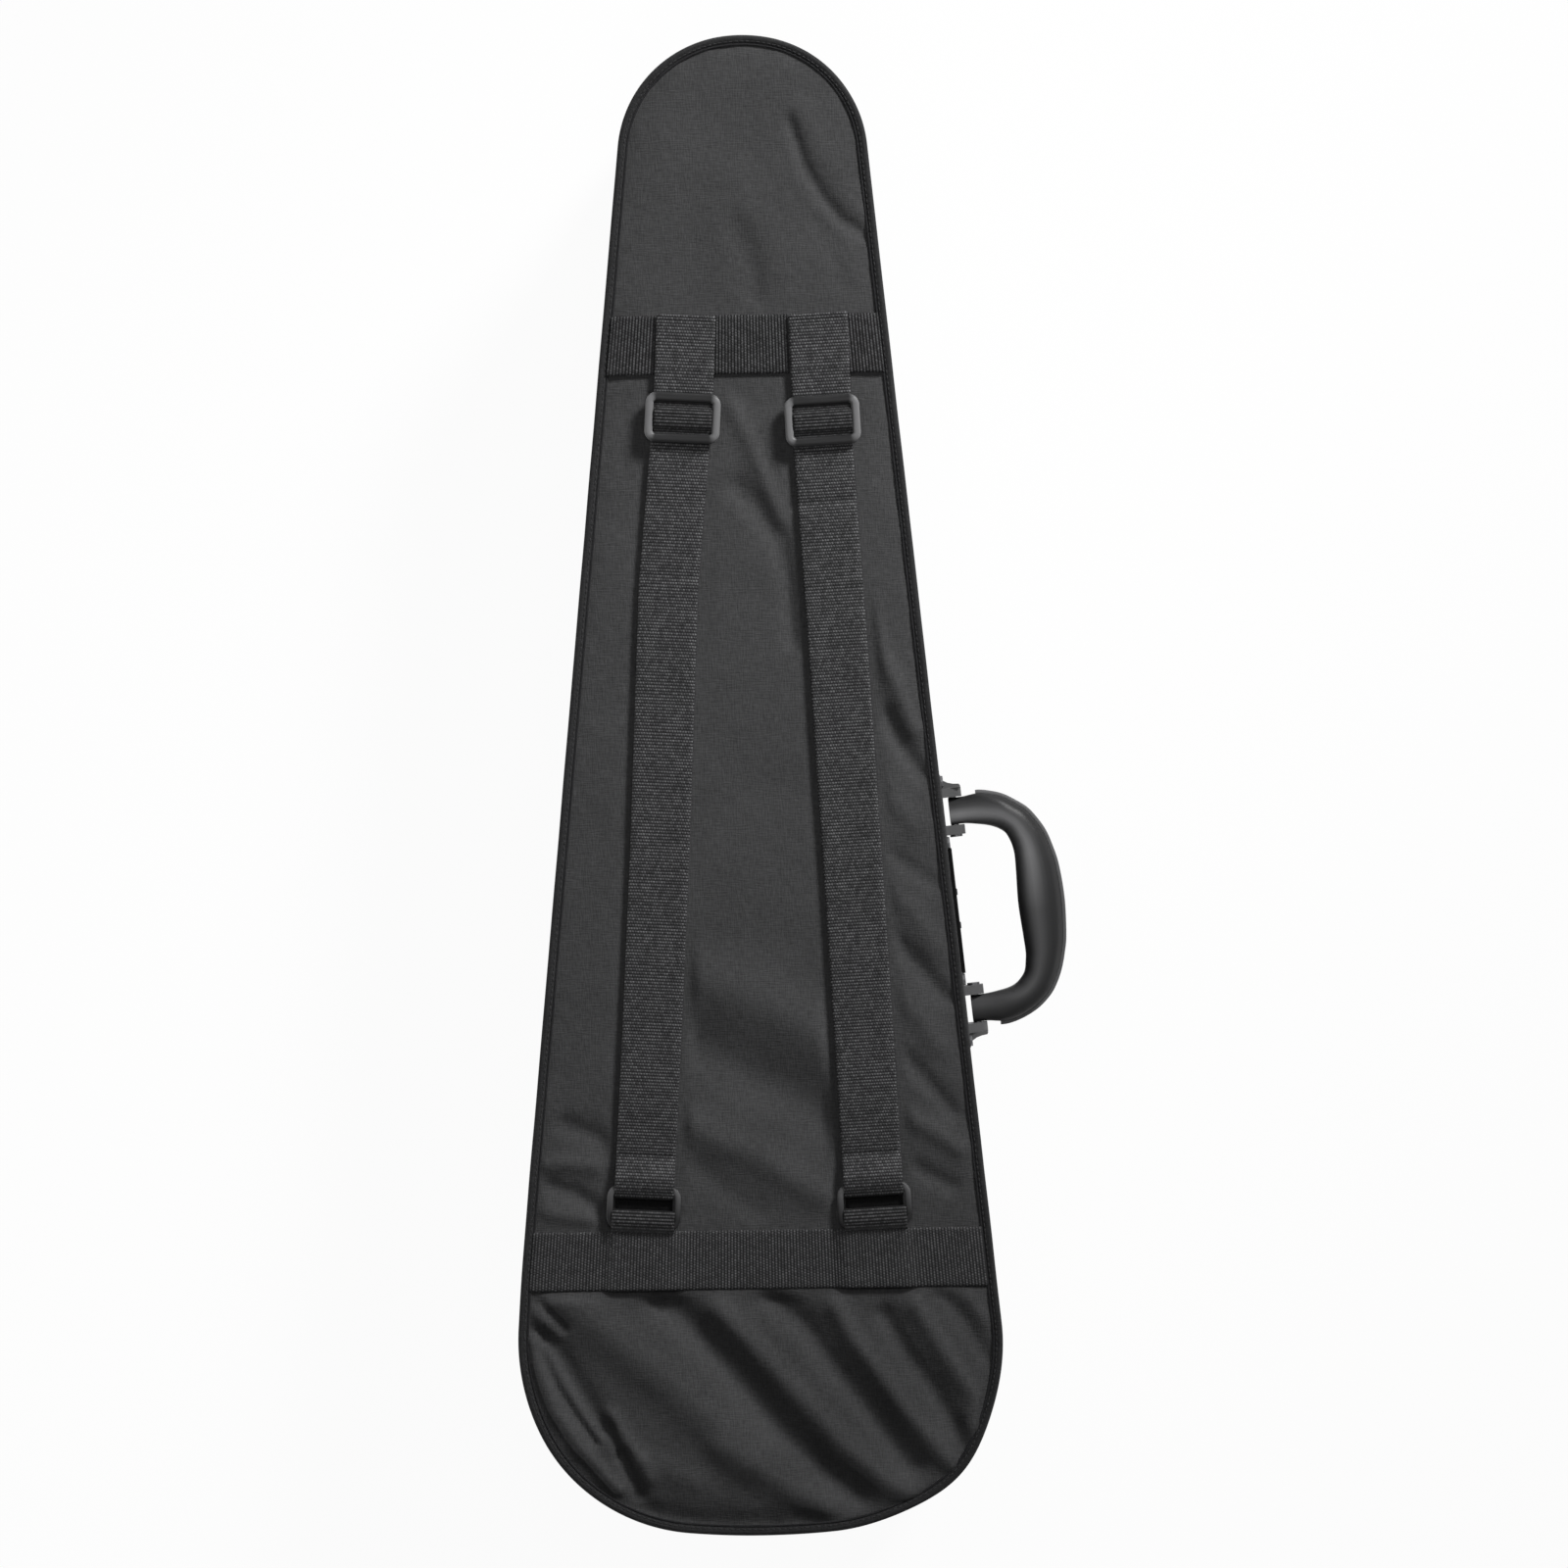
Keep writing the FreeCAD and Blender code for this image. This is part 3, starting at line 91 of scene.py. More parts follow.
def right_edge(step):
    """Points and outward normals of the outline's right half, from the tail's tip to the head's."""
    points, angles = [], []

    def arc(centre, radius, start, stop):
        count = max(2, round(abs(stop - start) * radius / step))
        for angle in np.linspace(start, stop, count, endpoint=False):
            points.append((centre[0] + radius * math.cos(angle), centre[1] + radius * math.sin(angle)))
            angles.append(angle)

    arc(TAIL[2], TAIL[3], -math.pi / 2, TAIL[4])
    arc(TAIL[0], TAIL[1], TAIL[4], TAPER)
    start, stop = (np.array(end[0]) + end[1] * SIDE_NORMAL for end in (TAIL, HEAD))
    for t in np.linspace(0, 1, round(np.linalg.norm(stop - start) / step), endpoint=False):
        points.append(tuple(start + t * (stop - start)))
        angles.append(TAPER)
    arc(HEAD[0], HEAD[1], TAPER, HEAD[4])
    arc(HEAD[2], HEAD[3], HEAD[4], math.pi / 2)
    points.append((0, HALF_LENGTH))
    angles.append(math.pi / 2)
    return np.array(points), np.stack([np.cos(angles), np.sin(angles)], 1)


def unit(vectors):
    """Each row at a length of 1."""
    return vectors / np.linalg.norm(vectors, axis=1)[:, None]


def run_lengths(points):
    """How far along the line through the points each of them lies."""
    return np.hstack([0, np.cumsum(np.linalg.norm(np.diff(points, axis=0), axis=1))])


def at_stations(stations, lengths, values):
    """Every column of values, read off at stations along a line."""
    return np.stack([np.interp(stations, lengths, column) for column in values.T], 1)


def whole_edge(step):
    """The closed outline anticlockwise from the tail's tip: points, normals and how far along they lie."""
    points, normals = right_edge(step)
    points, normals = (np.vstack([a, (a * (-1, 1))[-2:0:-1]]) for a in (points, normals))
    return points, normals, run_lengths(points)


EDGE = whole_edge(4)[0]


def edge_distance(x, y):
    """How far points lie inside the outline."""
    flat = np.stack([x.ravel(), y.ravel()], 1)
    parts = [np.sqrt(((part[:, None] - EDGE[None]) ** 2).sum(2)).min(1) for part in np.array_split(flat, 40)]
    return np.concatenate(parts).reshape(x.shape)


def smooth(t):
    t = np.clip(t, 0, 1)
    return t * t * (3 - 2 * t)


def ripple(x, y, size, seed):
    """Smooth random surface of about unit height, with hollows and swells of one size."""
    rng = np.random.default_rng(seed)
    total = np.zeros(np.broadcast(x, y).shape)
    for _ in range(9):
        angle, phase = rng.uniform(0, 2 * math.pi, 2)
        pitch = size * rng.uniform(0.7, 1.6)
        total += np.sin((x * math.cos(angle) + y * math.sin(angle)) * 2 * math.pi / pitch + phase)
    return total / 3


# ---------------------------------------------------------------- materials


def shader_node(tree, kind, inputs, output=0, **settings):
    node = tree.nodes.new("ShaderNode" + kind)
    for name, value in settings.items():
        setattr(node, name, value)
    for name, value in inputs.items():
        if isinstance(value, bpy.types.NodeSocket):
            tree.links.new(value, node.inputs[name])
        else:
            node.inputs[name].default_value = value
    return node.outputs[output]


def calc(tree, operation, *values):
    return shader_node(tree, "Math", dict(enumerate(values)), operation=operation)


def start_material(name, coordinates):
    """A new material: its tree, its shader and its coordinates in millimetres."""
    material = bpy.data.materials.new(name)
    material.use_nodes = True
    tree = material.node_tree
    shader = tree.nodes["Principled BSDF"]
    source = tree.nodes.new("ShaderNodeTexCoord").outputs[coordinates]
    place = shader_node(tree, "VectorMath", {0: source, 1: (1000, 1000, 1000)}, operation="MULTIPLY")
    return material, tree, shader, place


def noise(tree, place, scale, detail=2.0):
    """Noise with so many swells a millimetre, or with a number of them for each axis."""
    if isinstance(scale, tuple):
        place = shader_node(tree, "VectorMath", {0: place, 1: scale}, operation="MULTIPLY")
        scale = 1.0
    return shader_node(tree, "TexNoise", {"Vector": place, "Scale": scale, "Detail": detail})


def colour(shade):
    """The full colour of a (grey, blue) shade: everything on the case is close to grey."""
    return (shade[0], *shade, 1)


def paint(tree, shader, tone, shades, height, depth):
    """Colour between two shades by tone, and bump: a height of 0 to 1 stands for a depth in millimetres."""
    blend = shader_node(tree, "MixRGB", {0: tone, 1: colour(shades[0]), 2: colour(shades[1])})
    tree.links.new(blend, shader.inputs["Base Color"])
    bump = shader_node(tree, "Bump", {"Height": height, "Distance": depth / 1000, "Strength": 1.0})
    tree.links.new(bump, shader.inputs["Normal"])


def settle(shader, roughness, specular, sheen=0.0):
    shader.inputs["Roughness"].default_value = roughness
    shader.inputs["Specular IOR Level"].default_value = specular
    shader.inputs["Sheen Weight"].default_value = sheen
    shader.inputs["Sheen Roughness"].default_value = 0.4


def blotchy(tree, shader, marks, roughness):
    """Roughness that varies a little with the marks."""
    rough = calc(tree, "MULTIPLY_ADD", marks, 0.25, roughness - 0.12)
    tree.links.new(rough, shader.inputs["Roughness"])


def wave(tree, value, pitch):
    """0 to 1 and back over each pitch."""
    turned = calc(tree, "SINE", calc(tree, "MULTIPLY", value, 2 * math.pi / pitch))
    return calc(tree, "MULTIPLY_ADD", turned, 0.5, 0.5)


def counted(tree, value, pitch):
    """The number of the wave that a value is in."""
    return calc(tree, "FLOOR", calc(tree, "ADD", calc(tree, "DIVIDE", value, pitch), 0.25))


def canvas_material(name, *shades, coarse=1.0, sheen=0.08):
    """Plain woven synthetic cloth: uneven threads both ways, with soft clouding."""
    material, tree, shader, place = start_material(name, "UV")
    fine, long = 0.95 / coarse, 0.14 / coarse
    across = noise(tree, place, (long, fine, 1))
    along = noise(tree, place, (fine, long, 1))
    threads = calc(tree, "MULTIPLY", calc(tree, "ADD", across, along), 0.5)
    cloud = noise(tree, place, 0.02, 3.0)
    sharp = calc(tree, "MULTIPLY_ADD", threads, 3.2, -1.1)
    tone = calc(tree, "MULTIPLY_ADD", cloud, 0.5, calc(tree, "MULTIPLY_ADD", sharp, 0.5, -0.1))
    paint(tree, shader, tone, shades, threads, 0.5)
    settle(shader, 0.85, 0.05, sheen)
    return material


def webbing_material(name, *shades, knotted):
    """Ribbed webbing: raised ribs across its length, each a row of staggered, unevenly bright stitches. Its
    colour follows the ribs' bump: lighter on their tops as a painted highlight, darker between them as
    painted shade.
    """
    material, tree, shader, place = start_material(name, "UV")
    axes = tree.nodes.new("ShaderNodeSeparateXYZ")
    tree.links.new(place, axes.inputs[0])
    along, across = axes.outputs[0], axes.outputs[1]
    stitch = 1.4
    row = counted(tree, along, RIB_PITCH)
    shifted = calc(tree, "MULTIPLY_ADD", row, 0.7, across)
    pair = shader_node(tree, "CombineXYZ", {0: row, 1: counted(tree, shifted, stitch)})
    chance = shader_node(tree, "TexWhiteNoise", {"Vector": pair}, noise_dimensions="2D")
    lit = calc(tree, "MULTIPLY_ADD", chance, 0.75, 0.4)
    cloud = calc(tree, "MULTIPLY_ADD", noise(tree, place, 0.08), 0.8, 0.6)
    highlight_amount = calc(tree, "MULTIPLY", lit, cloud)
    dots = calc(tree, "MULTIPLY_ADD", wave(tree, shifted, stitch), knotted, 1 - knotted)
    ribs = calc(tree, "MULTIPLY", wave(tree, along, RIB_PITCH), dots)
    fibres = noise(tree, place, (3.0, 0.8, 1))
    height = calc(tree, "MULTIPLY_ADD", fibres, 0.3, ribs)
    # The tone is the ribs' own height: painted highlight on their tops, painted shade in the grooves.
    paint(tree, shader, calc(tree, "MULTIPLY", ribs, highlight_amount), shades, height, 0.3)
    settle(shader, 0.65, 0.1, 0.03)
    return material


def plush_material(name, *shades):
    """Short pile with brushed patches."""
    material, tree, shader, place = start_material(name, "Object")
    pile = noise(tree, place, 1.6, 4.0)
    brushed = noise(tree, place, (0.05, 0.02, 0.05), 3.0)
    tone = calc(tree, "MULTIPLY_ADD", pile, 0.6, calc(tree, "MULTIPLY", brushed, 0.5))
    paint(tree, shader, tone, shades, pile, 0.5)
    settle(shader, 0.95, 0.1, 0.6)
    return material


def plastic_material(name, *shades, roughness):
    """Moulded plastic with a fine grain and faint handling marks."""
    material, tree, shader, place = start_material(name, "Object")
    marks = noise(tree, place, (0.06, 0.02, 0.06), 4.0)
    paint(tree, shader, marks, shades, noise(tree, place, 3.0, 3.0), 0.03)
    settle(shader, roughness, 0.3)
    blotchy(tree, shader, marks, roughness)
    return material


def highlight_painted_material(name, *shades, highlight_shade):
    """Moulded plastic with a painted highlight: lighter towards a highlight shade where the piece's uvs say
    so.
    """
    material = plastic_material(name, *shades, roughness=0.42)
    tree = material.node_tree
    shader = tree.nodes["Principled BSDF"]
    shader.inputs["Specular IOR Level"].default_value = 0.14
    plain = shader.inputs["Base Color"].links[0].from_socket
    axes = tree.nodes.new("ShaderNodeSeparateXYZ")
    tree.links.new(tree.nodes.new("ShaderNodeTexCoord").outputs["UV"], axes.inputs[0])
    # The uvs' u is the share of painted highlight: lighter where light would catch the piece.
    highlight_share = calc(tree, "MULTIPLY", axes.outputs[0], 1000)
    blend = shader_node(tree, "MixRGB", {0: highlight_share, 1: plain, 2: colour(highlight_shade)})
    tree.links.new(blend, shader.inputs["Base Color"])
    return material


def metal_material(name, *shades, roughness):
    """Metal with fine scratches and dulled patches."""
    material, tree, shader, place = start_material(name, "Object")
    scratches = noise(tree, place, (4.0, 0.3, 0.3), 4.0)
    paint(tree, shader, noise(tree, place, 0.3, 3.0), shades, scratches, 0.01)
    blotchy(tree, shader, scratches, roughness)
    shader.inputs["Metallic"].default_value = 0.9
    return material


CANVAS = canvas_material("canvas_cloth", (0.031, 0.0315), (0.075, 0.0765), coarse=0.75)
HINGE_CLOTH = canvas_material("hinge_cloth_weave", (0.024, 0.025), (0.05, 0.052), coarse=0.8)
BINDING = canvas_material("binding_cloth", (0.014, 0.0145), (0.038, 0.039), coarse=0.7, sheen=0.04)
TAPE = canvas_material("zip_tape_weave", (0.012, 0.013), (0.03, 0.031), coarse=1.2, sheen=0.1)
# A near-black cloth that stands for shade: a painted shadow in the rings' windows and in the gap beside the
# handle.
SHADE_CLOTH = canvas_material("painted_shade_cloth", (0.003, 0.0032), (0.009, 0.0093), sheen=0.0)
THREAD = plastic_material("sewing_thread", (0.01, 0.0105), (0.026, 0.027), roughness=0.7)
# Each webbing's dark shade is the painted shade between its ribs, its light shade the painted highlight on
# them.
WEBBING = webbing_material("ribbed_webbing", (0.006, 0.0063), (0.16, 0.164), knotted=0.65)
DARK_WEBBING = webbing_material("dark_ribbed_webbing", (0.004, 0.0042), (0.07, 0.072), knotted=0.4)
FLAT_WEBBING = webbing_material("flat_ribbed_webbing", (0.015, 0.0155), (0.085, 0.087), knotted=0.6)
PLUSH = plush_material("plush_lining", (0.09, 0.095), (0.22, 0.23))
PILE = plush_material("hook_and_loop_pile", (0.012, 0.013), (0.045, 0.047))
# Buckles and the handle carry a painted highlight: their third shade is the highlight's colour.
BUCKLE = highlight_painted_material("buckle_moulded", (0.006, 0.0063), (0.016, 0.0165), highlight_shade=(0.13, 0.1325))
HANDLE = highlight_painted_material("handle_moulded", (0.007, 0.0073), (0.015, 0.0155), highlight_shade=(0.185, 0.189))
BRACKET = plastic_material("bracket_moulded", (0.045, 0.046), (0.08, 0.082), roughness=0.45)
COIL = plastic_material("zip_coil_nylon", (0.012, 0.013), (0.035, 0.037), roughness=0.4)
CLIP = plastic_material("clip_moulded", (0.03, 0.031), (0.06, 0.062), roughness=0.4)
SLIDER = metal_material("slider_painted_metal", (0.02, 0.021), (0.06, 0.062), roughness=0.4)
STEEL = metal_material("dark_steel", (0.09, 0.095), (0.16, 0.165), roughness=0.35)

# ---------------------------------------------------------------- mesh helpers


def slouched(points):
    """The soft shell's own unevenness: one tail corner stands out a little, the other is drawn in."""
    points = np.array(points, float)
    for x, y, move_x, move_y, reach in ((105, -362, 2.8, -2.9, 30), (-118, -310, 1.7, 0, 42)):
        near = np.exp(-((points[:, 0] - x) ** 2 + (points[:, 1] - y) ** 2) / reach**2)
        points[:, 0] += near * move_x
        points[:, 1] += near * move_y
    return points


def piece(name, lists, material, body=None, replaces=()):
    """A mesh from (points in millimetres, faces, uvs per corner) that rides on a body."""
    points, faces, uvs = lists
    mesh = bpy.data.meshes.new(name)
    mesh.from_pydata((slouched(points) / 1000).tolist(), [], [list(map(int, f)) for f in faces])
    mesh.uv_layers.new(name="UVMap").data.foreach_set("uv", (np.asarray(uvs, float) / 1000).ravel())
    work = bmesh.new()
    work.from_mesh(mesh)
    bmesh.ops.remove_doubles(work, verts=work.verts, dist=2e-6)
    bmesh.ops.recalc_face_normals(work, faces=work.faces)
    work.to_mesh(mesh)
    work.free()
    mesh.shade_smooth()
    return dressed(name, mesh, material, body, replaces)


def dressed(name, mesh, material, body=None, replaces=()):
    """An object of that mesh, with its material, its body and the CAD nodes that it stands for."""
    mesh.materials.clear()
    mesh.materials.append(material)
    thing = bpy.data.objects.new(name, mesh)
    bpy.context.scene.collection.objects.link(thing)
    if body:
        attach(thing, body)
    if replaces:
        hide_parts(*replaces)
    return thing


def grid(points, uv, close_rows=False, close_columns=False):
    """Flat lists for a grid of rows by columns: points, quads and their uvs."""
    rows, columns = points.shape[:2]
    if close_rows and len(uv) == rows:
        uv = np.vstack([uv, 2 * uv[-1:] - uv[-2:-1]])
    if close_columns and uv.shape[1] == columns:
        uv = np.hstack([uv, 2 * uv[:, -1:] - uv[:, -2:-1]])
    r = np.arange(rows if close_rows else rows - 1)
    c = np.arange(columns if close_columns else columns - 1)
    r, c = (a.ravel() for a in np.meshgrid(r, c, indexing="ij"))
    corners = [(r, c), (r + 1, c), (r + 1, c + 1), (r, c + 1)]
    faces = np.stack([(a % rows) * columns + b % columns for a, b in corners], 1)
    uvs = np.stack([uv[a, b] for a, b in corners], 1)
    return points.reshape(-1, 3), faces, uvs.reshape(-1, 2)


def flat_grid(x, y, z):
    """A grid that is unwrapped as it is seen from above."""
    return grid(np.dstack([x, y, z]), np.dstack([x, y]))


def together(*parts):
    """One mesh's lists from several."""
    points, faces, uvs = zip(*parts)
    starts = np.cumsum([0] + [len(p) for p in points[:-1]])
    faces = [[i + start for i in face] for start, part in zip(starts, faces) for face in part]
    return np.vstack(points), faces, np.vstack(uvs)


def uv_grid(u, v):
    return np.stack(np.meshgrid(u, v, indexing="ij"), 2)


def sweep_edge(profile, step, offsets=None, close_columns=False):
    """Lists for a profile of (inset, height) swept round the whole outline."""
    points, normals, lengths = whole_edge(step)
    profile = np.array(profile, float)
    more = offsets(points, lengths) if offsets else (0, 0)
    size = len(points), len(profile)
    inset, height = (np.broadcast_to(profile[:, k] + more[k], size)[:, :, None] for k in (0, 1))
    body = np.dstack([points[:, None] - inset * normals[:, None], height])
    return grid(body, uv_grid(lengths, run_lengths(profile)), True, close_columns)


def rounded_path(corners, radii, step=0.5):
    """Points about one step apart on a line through corners, each rounded by its own radius."""
    corners = np.array(corners, float)
    points = [corners[:1]]
    for before, corner, after, radius in zip(corners, corners[1:], corners[2:], radii):
        a, b = unit(np.array([before, after]) - corner)
        turn = math.pi - math.acos(np.clip(a @ b, -1, 1))
        if turn < 1e-3:
            continue
        room = 0.48 * min(np.linalg.norm(before - corner), np.linalg.norm(after - corner))
        reach = min(radius * math.tan(turn / 2), room)
        start, stop = corner + a * reach, corner + b * reach
        t = np.linspace(0, 1, max(3, round(turn * radius / step) + 2))[:, None]
        points.append((1 - t) ** 2 * start + 2 * t * (1 - t) * corner + t * t * stop)
    points = np.vstack([*points, corners[-1:]])
    lengths = run_lengths(points)
    return at_stations(np.linspace(0, lengths[-1], max(4, round(lengths[-1] / step))), lengths, points)


def ribbon(path, across, width, thickness, columns=12, rib=0.2, shift=None):
    """Webbing along a path of (x, y, z) points; across is its width direction."""
    path = np.asarray(path, float)
    normal = np.cross(across, unit(np.gradient(path, axis=0)))
    lengths = run_lengths(path)
    half = thickness / 2
    # Half the height of the ribbon's edges, as a share of half its thickness.
    edge = 0.55
    top = [(-1 + 2 * (i + 0.5) / columns, 1) for i in range(columns)]
    bottom = [(-x, -1) for x, _ in top]
    section = np.array([(-1, edge), *top, (1, edge), (1, -edge), *bottom, (-1, -edge)])
    on_face = abs(section[:, 1]) == 1
    raised = 1 + rib / half * np.cos(lengths * 2 * math.pi / RIB_PITCH)[:, None] * on_face
    lift = section[:, 1] * half * raised
    side = section[:, 0] * width / 2
    points = path[:, None] + side[None, :, None] * across + lift[:, :, None] * normal[:, None]
    if shift is not None:
        points += shift(points)
    uv = uv_grid(lengths, np.append(side, side[0]))
    return capped(grid(points, uv, close_columns=True), len(section))


def capped(tube_lists, count):
    """A swept tube of count points round, closed at both ends."""
    points, faces, uvs = tube_lists
    first, last = list(range(count)), list(range(len(points) - count, len(points)))
    return points, [*map(list, faces), first[::-1], last], np.vstack([uvs, np.zeros((2 * count, 2))])


def stitches(centres, directions, normals, length, width, height):
    """A row of short raised threads: a centre, a direction and a normal for each."""
    axes = np.stack([directions, np.cross(normals, directions), normals], 1)
    shape = np.array([
        (x * length / 2, y * scale * width / 2, z * scale * height)
        for x, scale in ((-1, 0.5), (-0.6, 1), (0.6, 1), (1, 0.5))
        for y, z in ((-1, 0), (-0.6, 0.8), (0.6, 0.8), (1, 0))
    ])
    points = np.asarray(centres)[:, None] + shape @ axes
    one = [(a * 4 + b, a * 4 + (b + 1) % 4, a * 4 + 4 + (b + 1) % 4, a * 4 + 4 + b)
           for a in range(3) for b in range(4)]
    one += [(3, 2, 1, 0), (12, 13, 14, 15)]
    faces = (np.array(one)[None] + 16 * np.arange(len(points))[:, None, None]).reshape(-1, 4)
    return points.reshape(-1, 3), faces, np.zeros((len(faces) * 4, 2))


def seam_along(line, stations, inset, height):
    """Centres, directions and outward normals for stitches at stations along a line of the wall."""
    points, normals, lengths = line
    zero = np.zeros((len(stations), 1))
    facing = np.hstack([at_stations(stations, lengths, normals), zero])
    centres = np.hstack([at_stations(stations, lengths, points - inset * normals), zero + height])
    return centres, -np.cross(facing, UP), facing


def edge_stitches(inset, height, pitch, normal=None):
    """Stitches that follow the outline at an inset, on the wall unless a normal is given."""
    line = whole_edge(1)
    total = line[2][-1] + np.linalg.norm(line[0][-1] - line[0][0])
    centres, directions, facing = seam_along(line, np.arange(0, total, pitch), inset, height)
    if normal:
        facing = np.tile(normal, (len(centres), 1))
    return centres, unit(directions), unit(facing)


def softened(name, node, material, body, bevel, segments=2):
    """Stands for a CAD node, with its edges eased."""
    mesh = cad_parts[node].data.copy()
    mesh.name = name
    work = bmesh.new()
    work.from_mesh(mesh)
    bmesh.ops.remove_doubles(work, verts=work.verts, dist=1e-6)
    bmesh.ops.dissolve_limit(work, angle_limit=0.02, verts=work.verts, edges=work.edges)
    sharp = [e for e in work.edges if len(e.link_faces) == 2 and e.calc_face_angle(0) > 0.6]
    bmesh.ops.bevel(work, geom=sharp, offset=bevel / 1000, segments=segments, profile=0.5,
                    affect="EDGES", clamp_overlap=True)
    bmesh.ops.triangulate(work, faces=[f for f in work.faces if len(f.verts) > 4])
    work.to_mesh(mesh)
    work.free()
    mesh.shade_smooth()
    mesh.set_sharp_from_angle(angle=0.7)
    return dressed(name, mesh, material, body, [node])


def upholstered(name, node, voxel=2.4, rounds=6):
    """Stands for a CAD block of covered foam: rebuilt in small faces and rubbed round at its edges."""
    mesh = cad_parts[node].data.copy()
    mesh.name = name
    thing = dressed(name, mesh, PLUSH, "base", [node])
    remesh = thing.modifiers.new("remesh", "REMESH")
    remesh.mode, remesh.voxel_size = "VOXEL", voxel / 1000
    rub = thing.modifiers.new("rub", "SMOOTH")
    rub.factor, rub.iterations = 0.5, rounds
    shape = bpy.data.meshes.new_from_object(thing.evaluated_get(bpy.context.evaluated_depsgraph_get()))
    thing.modifiers.clear()
    thing.data = shape
    shape.materials.clear()
    shape.materials.append(PLUSH)
    shape.shade_smooth()


# ---------------------------------------------------------------- the two flat faces

# Folds of the back: height, width, then x and y of the points that each fold runs through.
FOLDS = [
    # head
    (-1.5, 3.5, 25, 347, 32, 325, 42, 307, 52, 295, 65, 287),
    (0.8, 7, 30, 354, 40, 334, 50, 316, 61, 301),
    (-0.8, 6, -4, 293, 3, 278, 6, 257),
    (0.5, 9, -4, 319, 6, 298, 17, 270),
    (-0.4, 5, 38, 295, 48, 276, 53, 257),
    # between the straps
    (1.3, 4.5, -7, 198, 2, 178, 9, 160, 17, 139),
    (-2, 6.5, -5, 156, 6, 144, 16, 128, 22, 107, 24, 77),
    (2.4, 15, -36, -99, -15, -107, 5, -116, 25, -127, 37, -134),
    (-3, 14, -30, -137, -11, -147, 10, -157, 30, -168, 41, -175),
    (2.2, 9, -35, -178, -19, -187, -1, -194, 14, -204, 32, -215),
    (-1, 7, -29, -202, -16, -213, 0, -223),
    # beside the right strap
    (2.2, 5.5, 62, 91, 69, 67, 77, 50, 85, 29),
    (-2.4, 5, 70, 35, 79, 20, 88, 6),
    (1, 6, 65, 6, 75, -10, 85, -22),
    (-1.2, 4.5, 67, -34, 83, -44, 94, -53),
    (1.2, 6, 67, -53, 83, -67, 96, -86),
    (-2.4, 5.5, 73, -81, 85, -95, 99, -112),
    (1.2, 6, 71, -107, 87, -124, 96, -138),
    (-1.8, 4.5, 80, -145, 92, -159, 103, -173),
    (1.7, 5, 77, -174, 92, -182, 106, -192),
    (-1.7, 4.5, 84, -202, 102, -212),
    # beside the left strap
    (-2, 5.5, -100, -177, -89, -181, -79, -186),
    (1.6, 4.5, -111, -197, -99, -197, -85, -199),
    (-1.8, 4, -108, -209, -95, -213, -84, -221),
    (1.4, 4.5, -110, -222, -89, -227),
    # tail
    (-4, 8.5, -50, -270, -33, -285, -18, -303, -3, -321, 12, -340, 33, -359, 51, -373),
    (-3.4, 7, 6, -267, 23, -283, 38, -304, 54, -324, 69, -345, 78, -357),
    (-2.8, 5.5, 66, -279, 77, -300, 90, -317, 100, -335, 108, -351),
    (-1.6, 4.5, 95, -267, 108, -283, 118, -301),
    (-1.7, 2.8, -117.6, -267.2, -110, -275, -102.4, -282.9),
    (1.3, 2.6, -118.6, -274, -112.7, -280.8, -106.7, -287),
    (-1.5, 2.2, -121.3, -282.8, -117, -284.6, -114.1, -289.1),
    (-2.4, 6.5, -111.5, -289.1, -104, -302.1, -97.7, -313.1, -89, -327.3, -82.7, -337.1),
    (3, 11, -104, -264, -90, -278, -76, -291, -60, -304, -42, -319, -22, -337, -4, -351),
    (2.3, 3.6, -120.5, -289.7, -119.6, -300.6, -110.7, -324.5, -96.3, -344.6, -75.4, -368),
    (-1.2, 1.8, -115.5, -295.5, -107.1, -314.5, -97.1, -330, -87, -343.8),
    (1.4, 2.6, -113.4, -296.2, -104.4, -312, -94.4, -327.5, -84.3, -341.3),
    (-0.9, 2.4, -79.8, -335.2, -76.6, -343.6, -73.9, -349.4),
    (-2.2, 3.8, -73.2, -350.7, -69.5, -358.4, -65.8, -366.8, -64.4, -370.7),
    (1.9, 4, -79, -328.8, -72.5, -340.4, -64.3, -352.1, -58.6, -361.8),
    (1, 6, -62.3, -351.5, -49.6, -358.1, -35.6, -364.7),
    (-2.6, 9, -65.3, -382, -39.8, -388, -9, -390.5, 27, -388.9),
    (2.8, 7, -21, -275, -5, -292, 13, -313, 28, -329, 43, -347, 61, -363, 77, -373),
    (2.8, 5.5, 40, -274, 49, -291, 62, -308, 77, -330, 89, -345, 98, -356),
    (2.4, 5.5, 82, -274, 93, -293, 103, -309, 111, -321, 108, -341),
    (1, 4, 110, -269, 118, -282),
    (2.2, 7, -21, -347, -7, -357, 12, -368, 33, -380),
]


def fold_height(x, y):
    """What the folds add to the back's height."""
    total = np.zeros(x.shape)
    for height, width, *line in FOLDS:
        nearest = np.full(x.shape, 1e9)
        for ax, ay, bx, by in zip(line[::2], line[1::2], line[2::2], line[3::2]):
            dx, dy = bx - ax, by - ay
            t = np.clip(((x - ax) * dx + (y - ay) * dy) / (dx * dx + dy * dy), 0, 1)
            nearest = np.minimum(nearest, np.hypot(x - ax - t * dx, y - ay - t * dy))
        total += height * np.exp(-((nearest / width) ** 2))
    return total


def strap_local(side, x, y):
    """Across and along a strap, from points of the back."""
    strap = STRAPS[side]
    dx, dy = x - strap["foot"][0], y - strap["foot"][1]
    c, s = math.cos(strap["lean"]), math.sin(strap["lean"])
    return dx * c + dy * s, -dx * s + dy * c


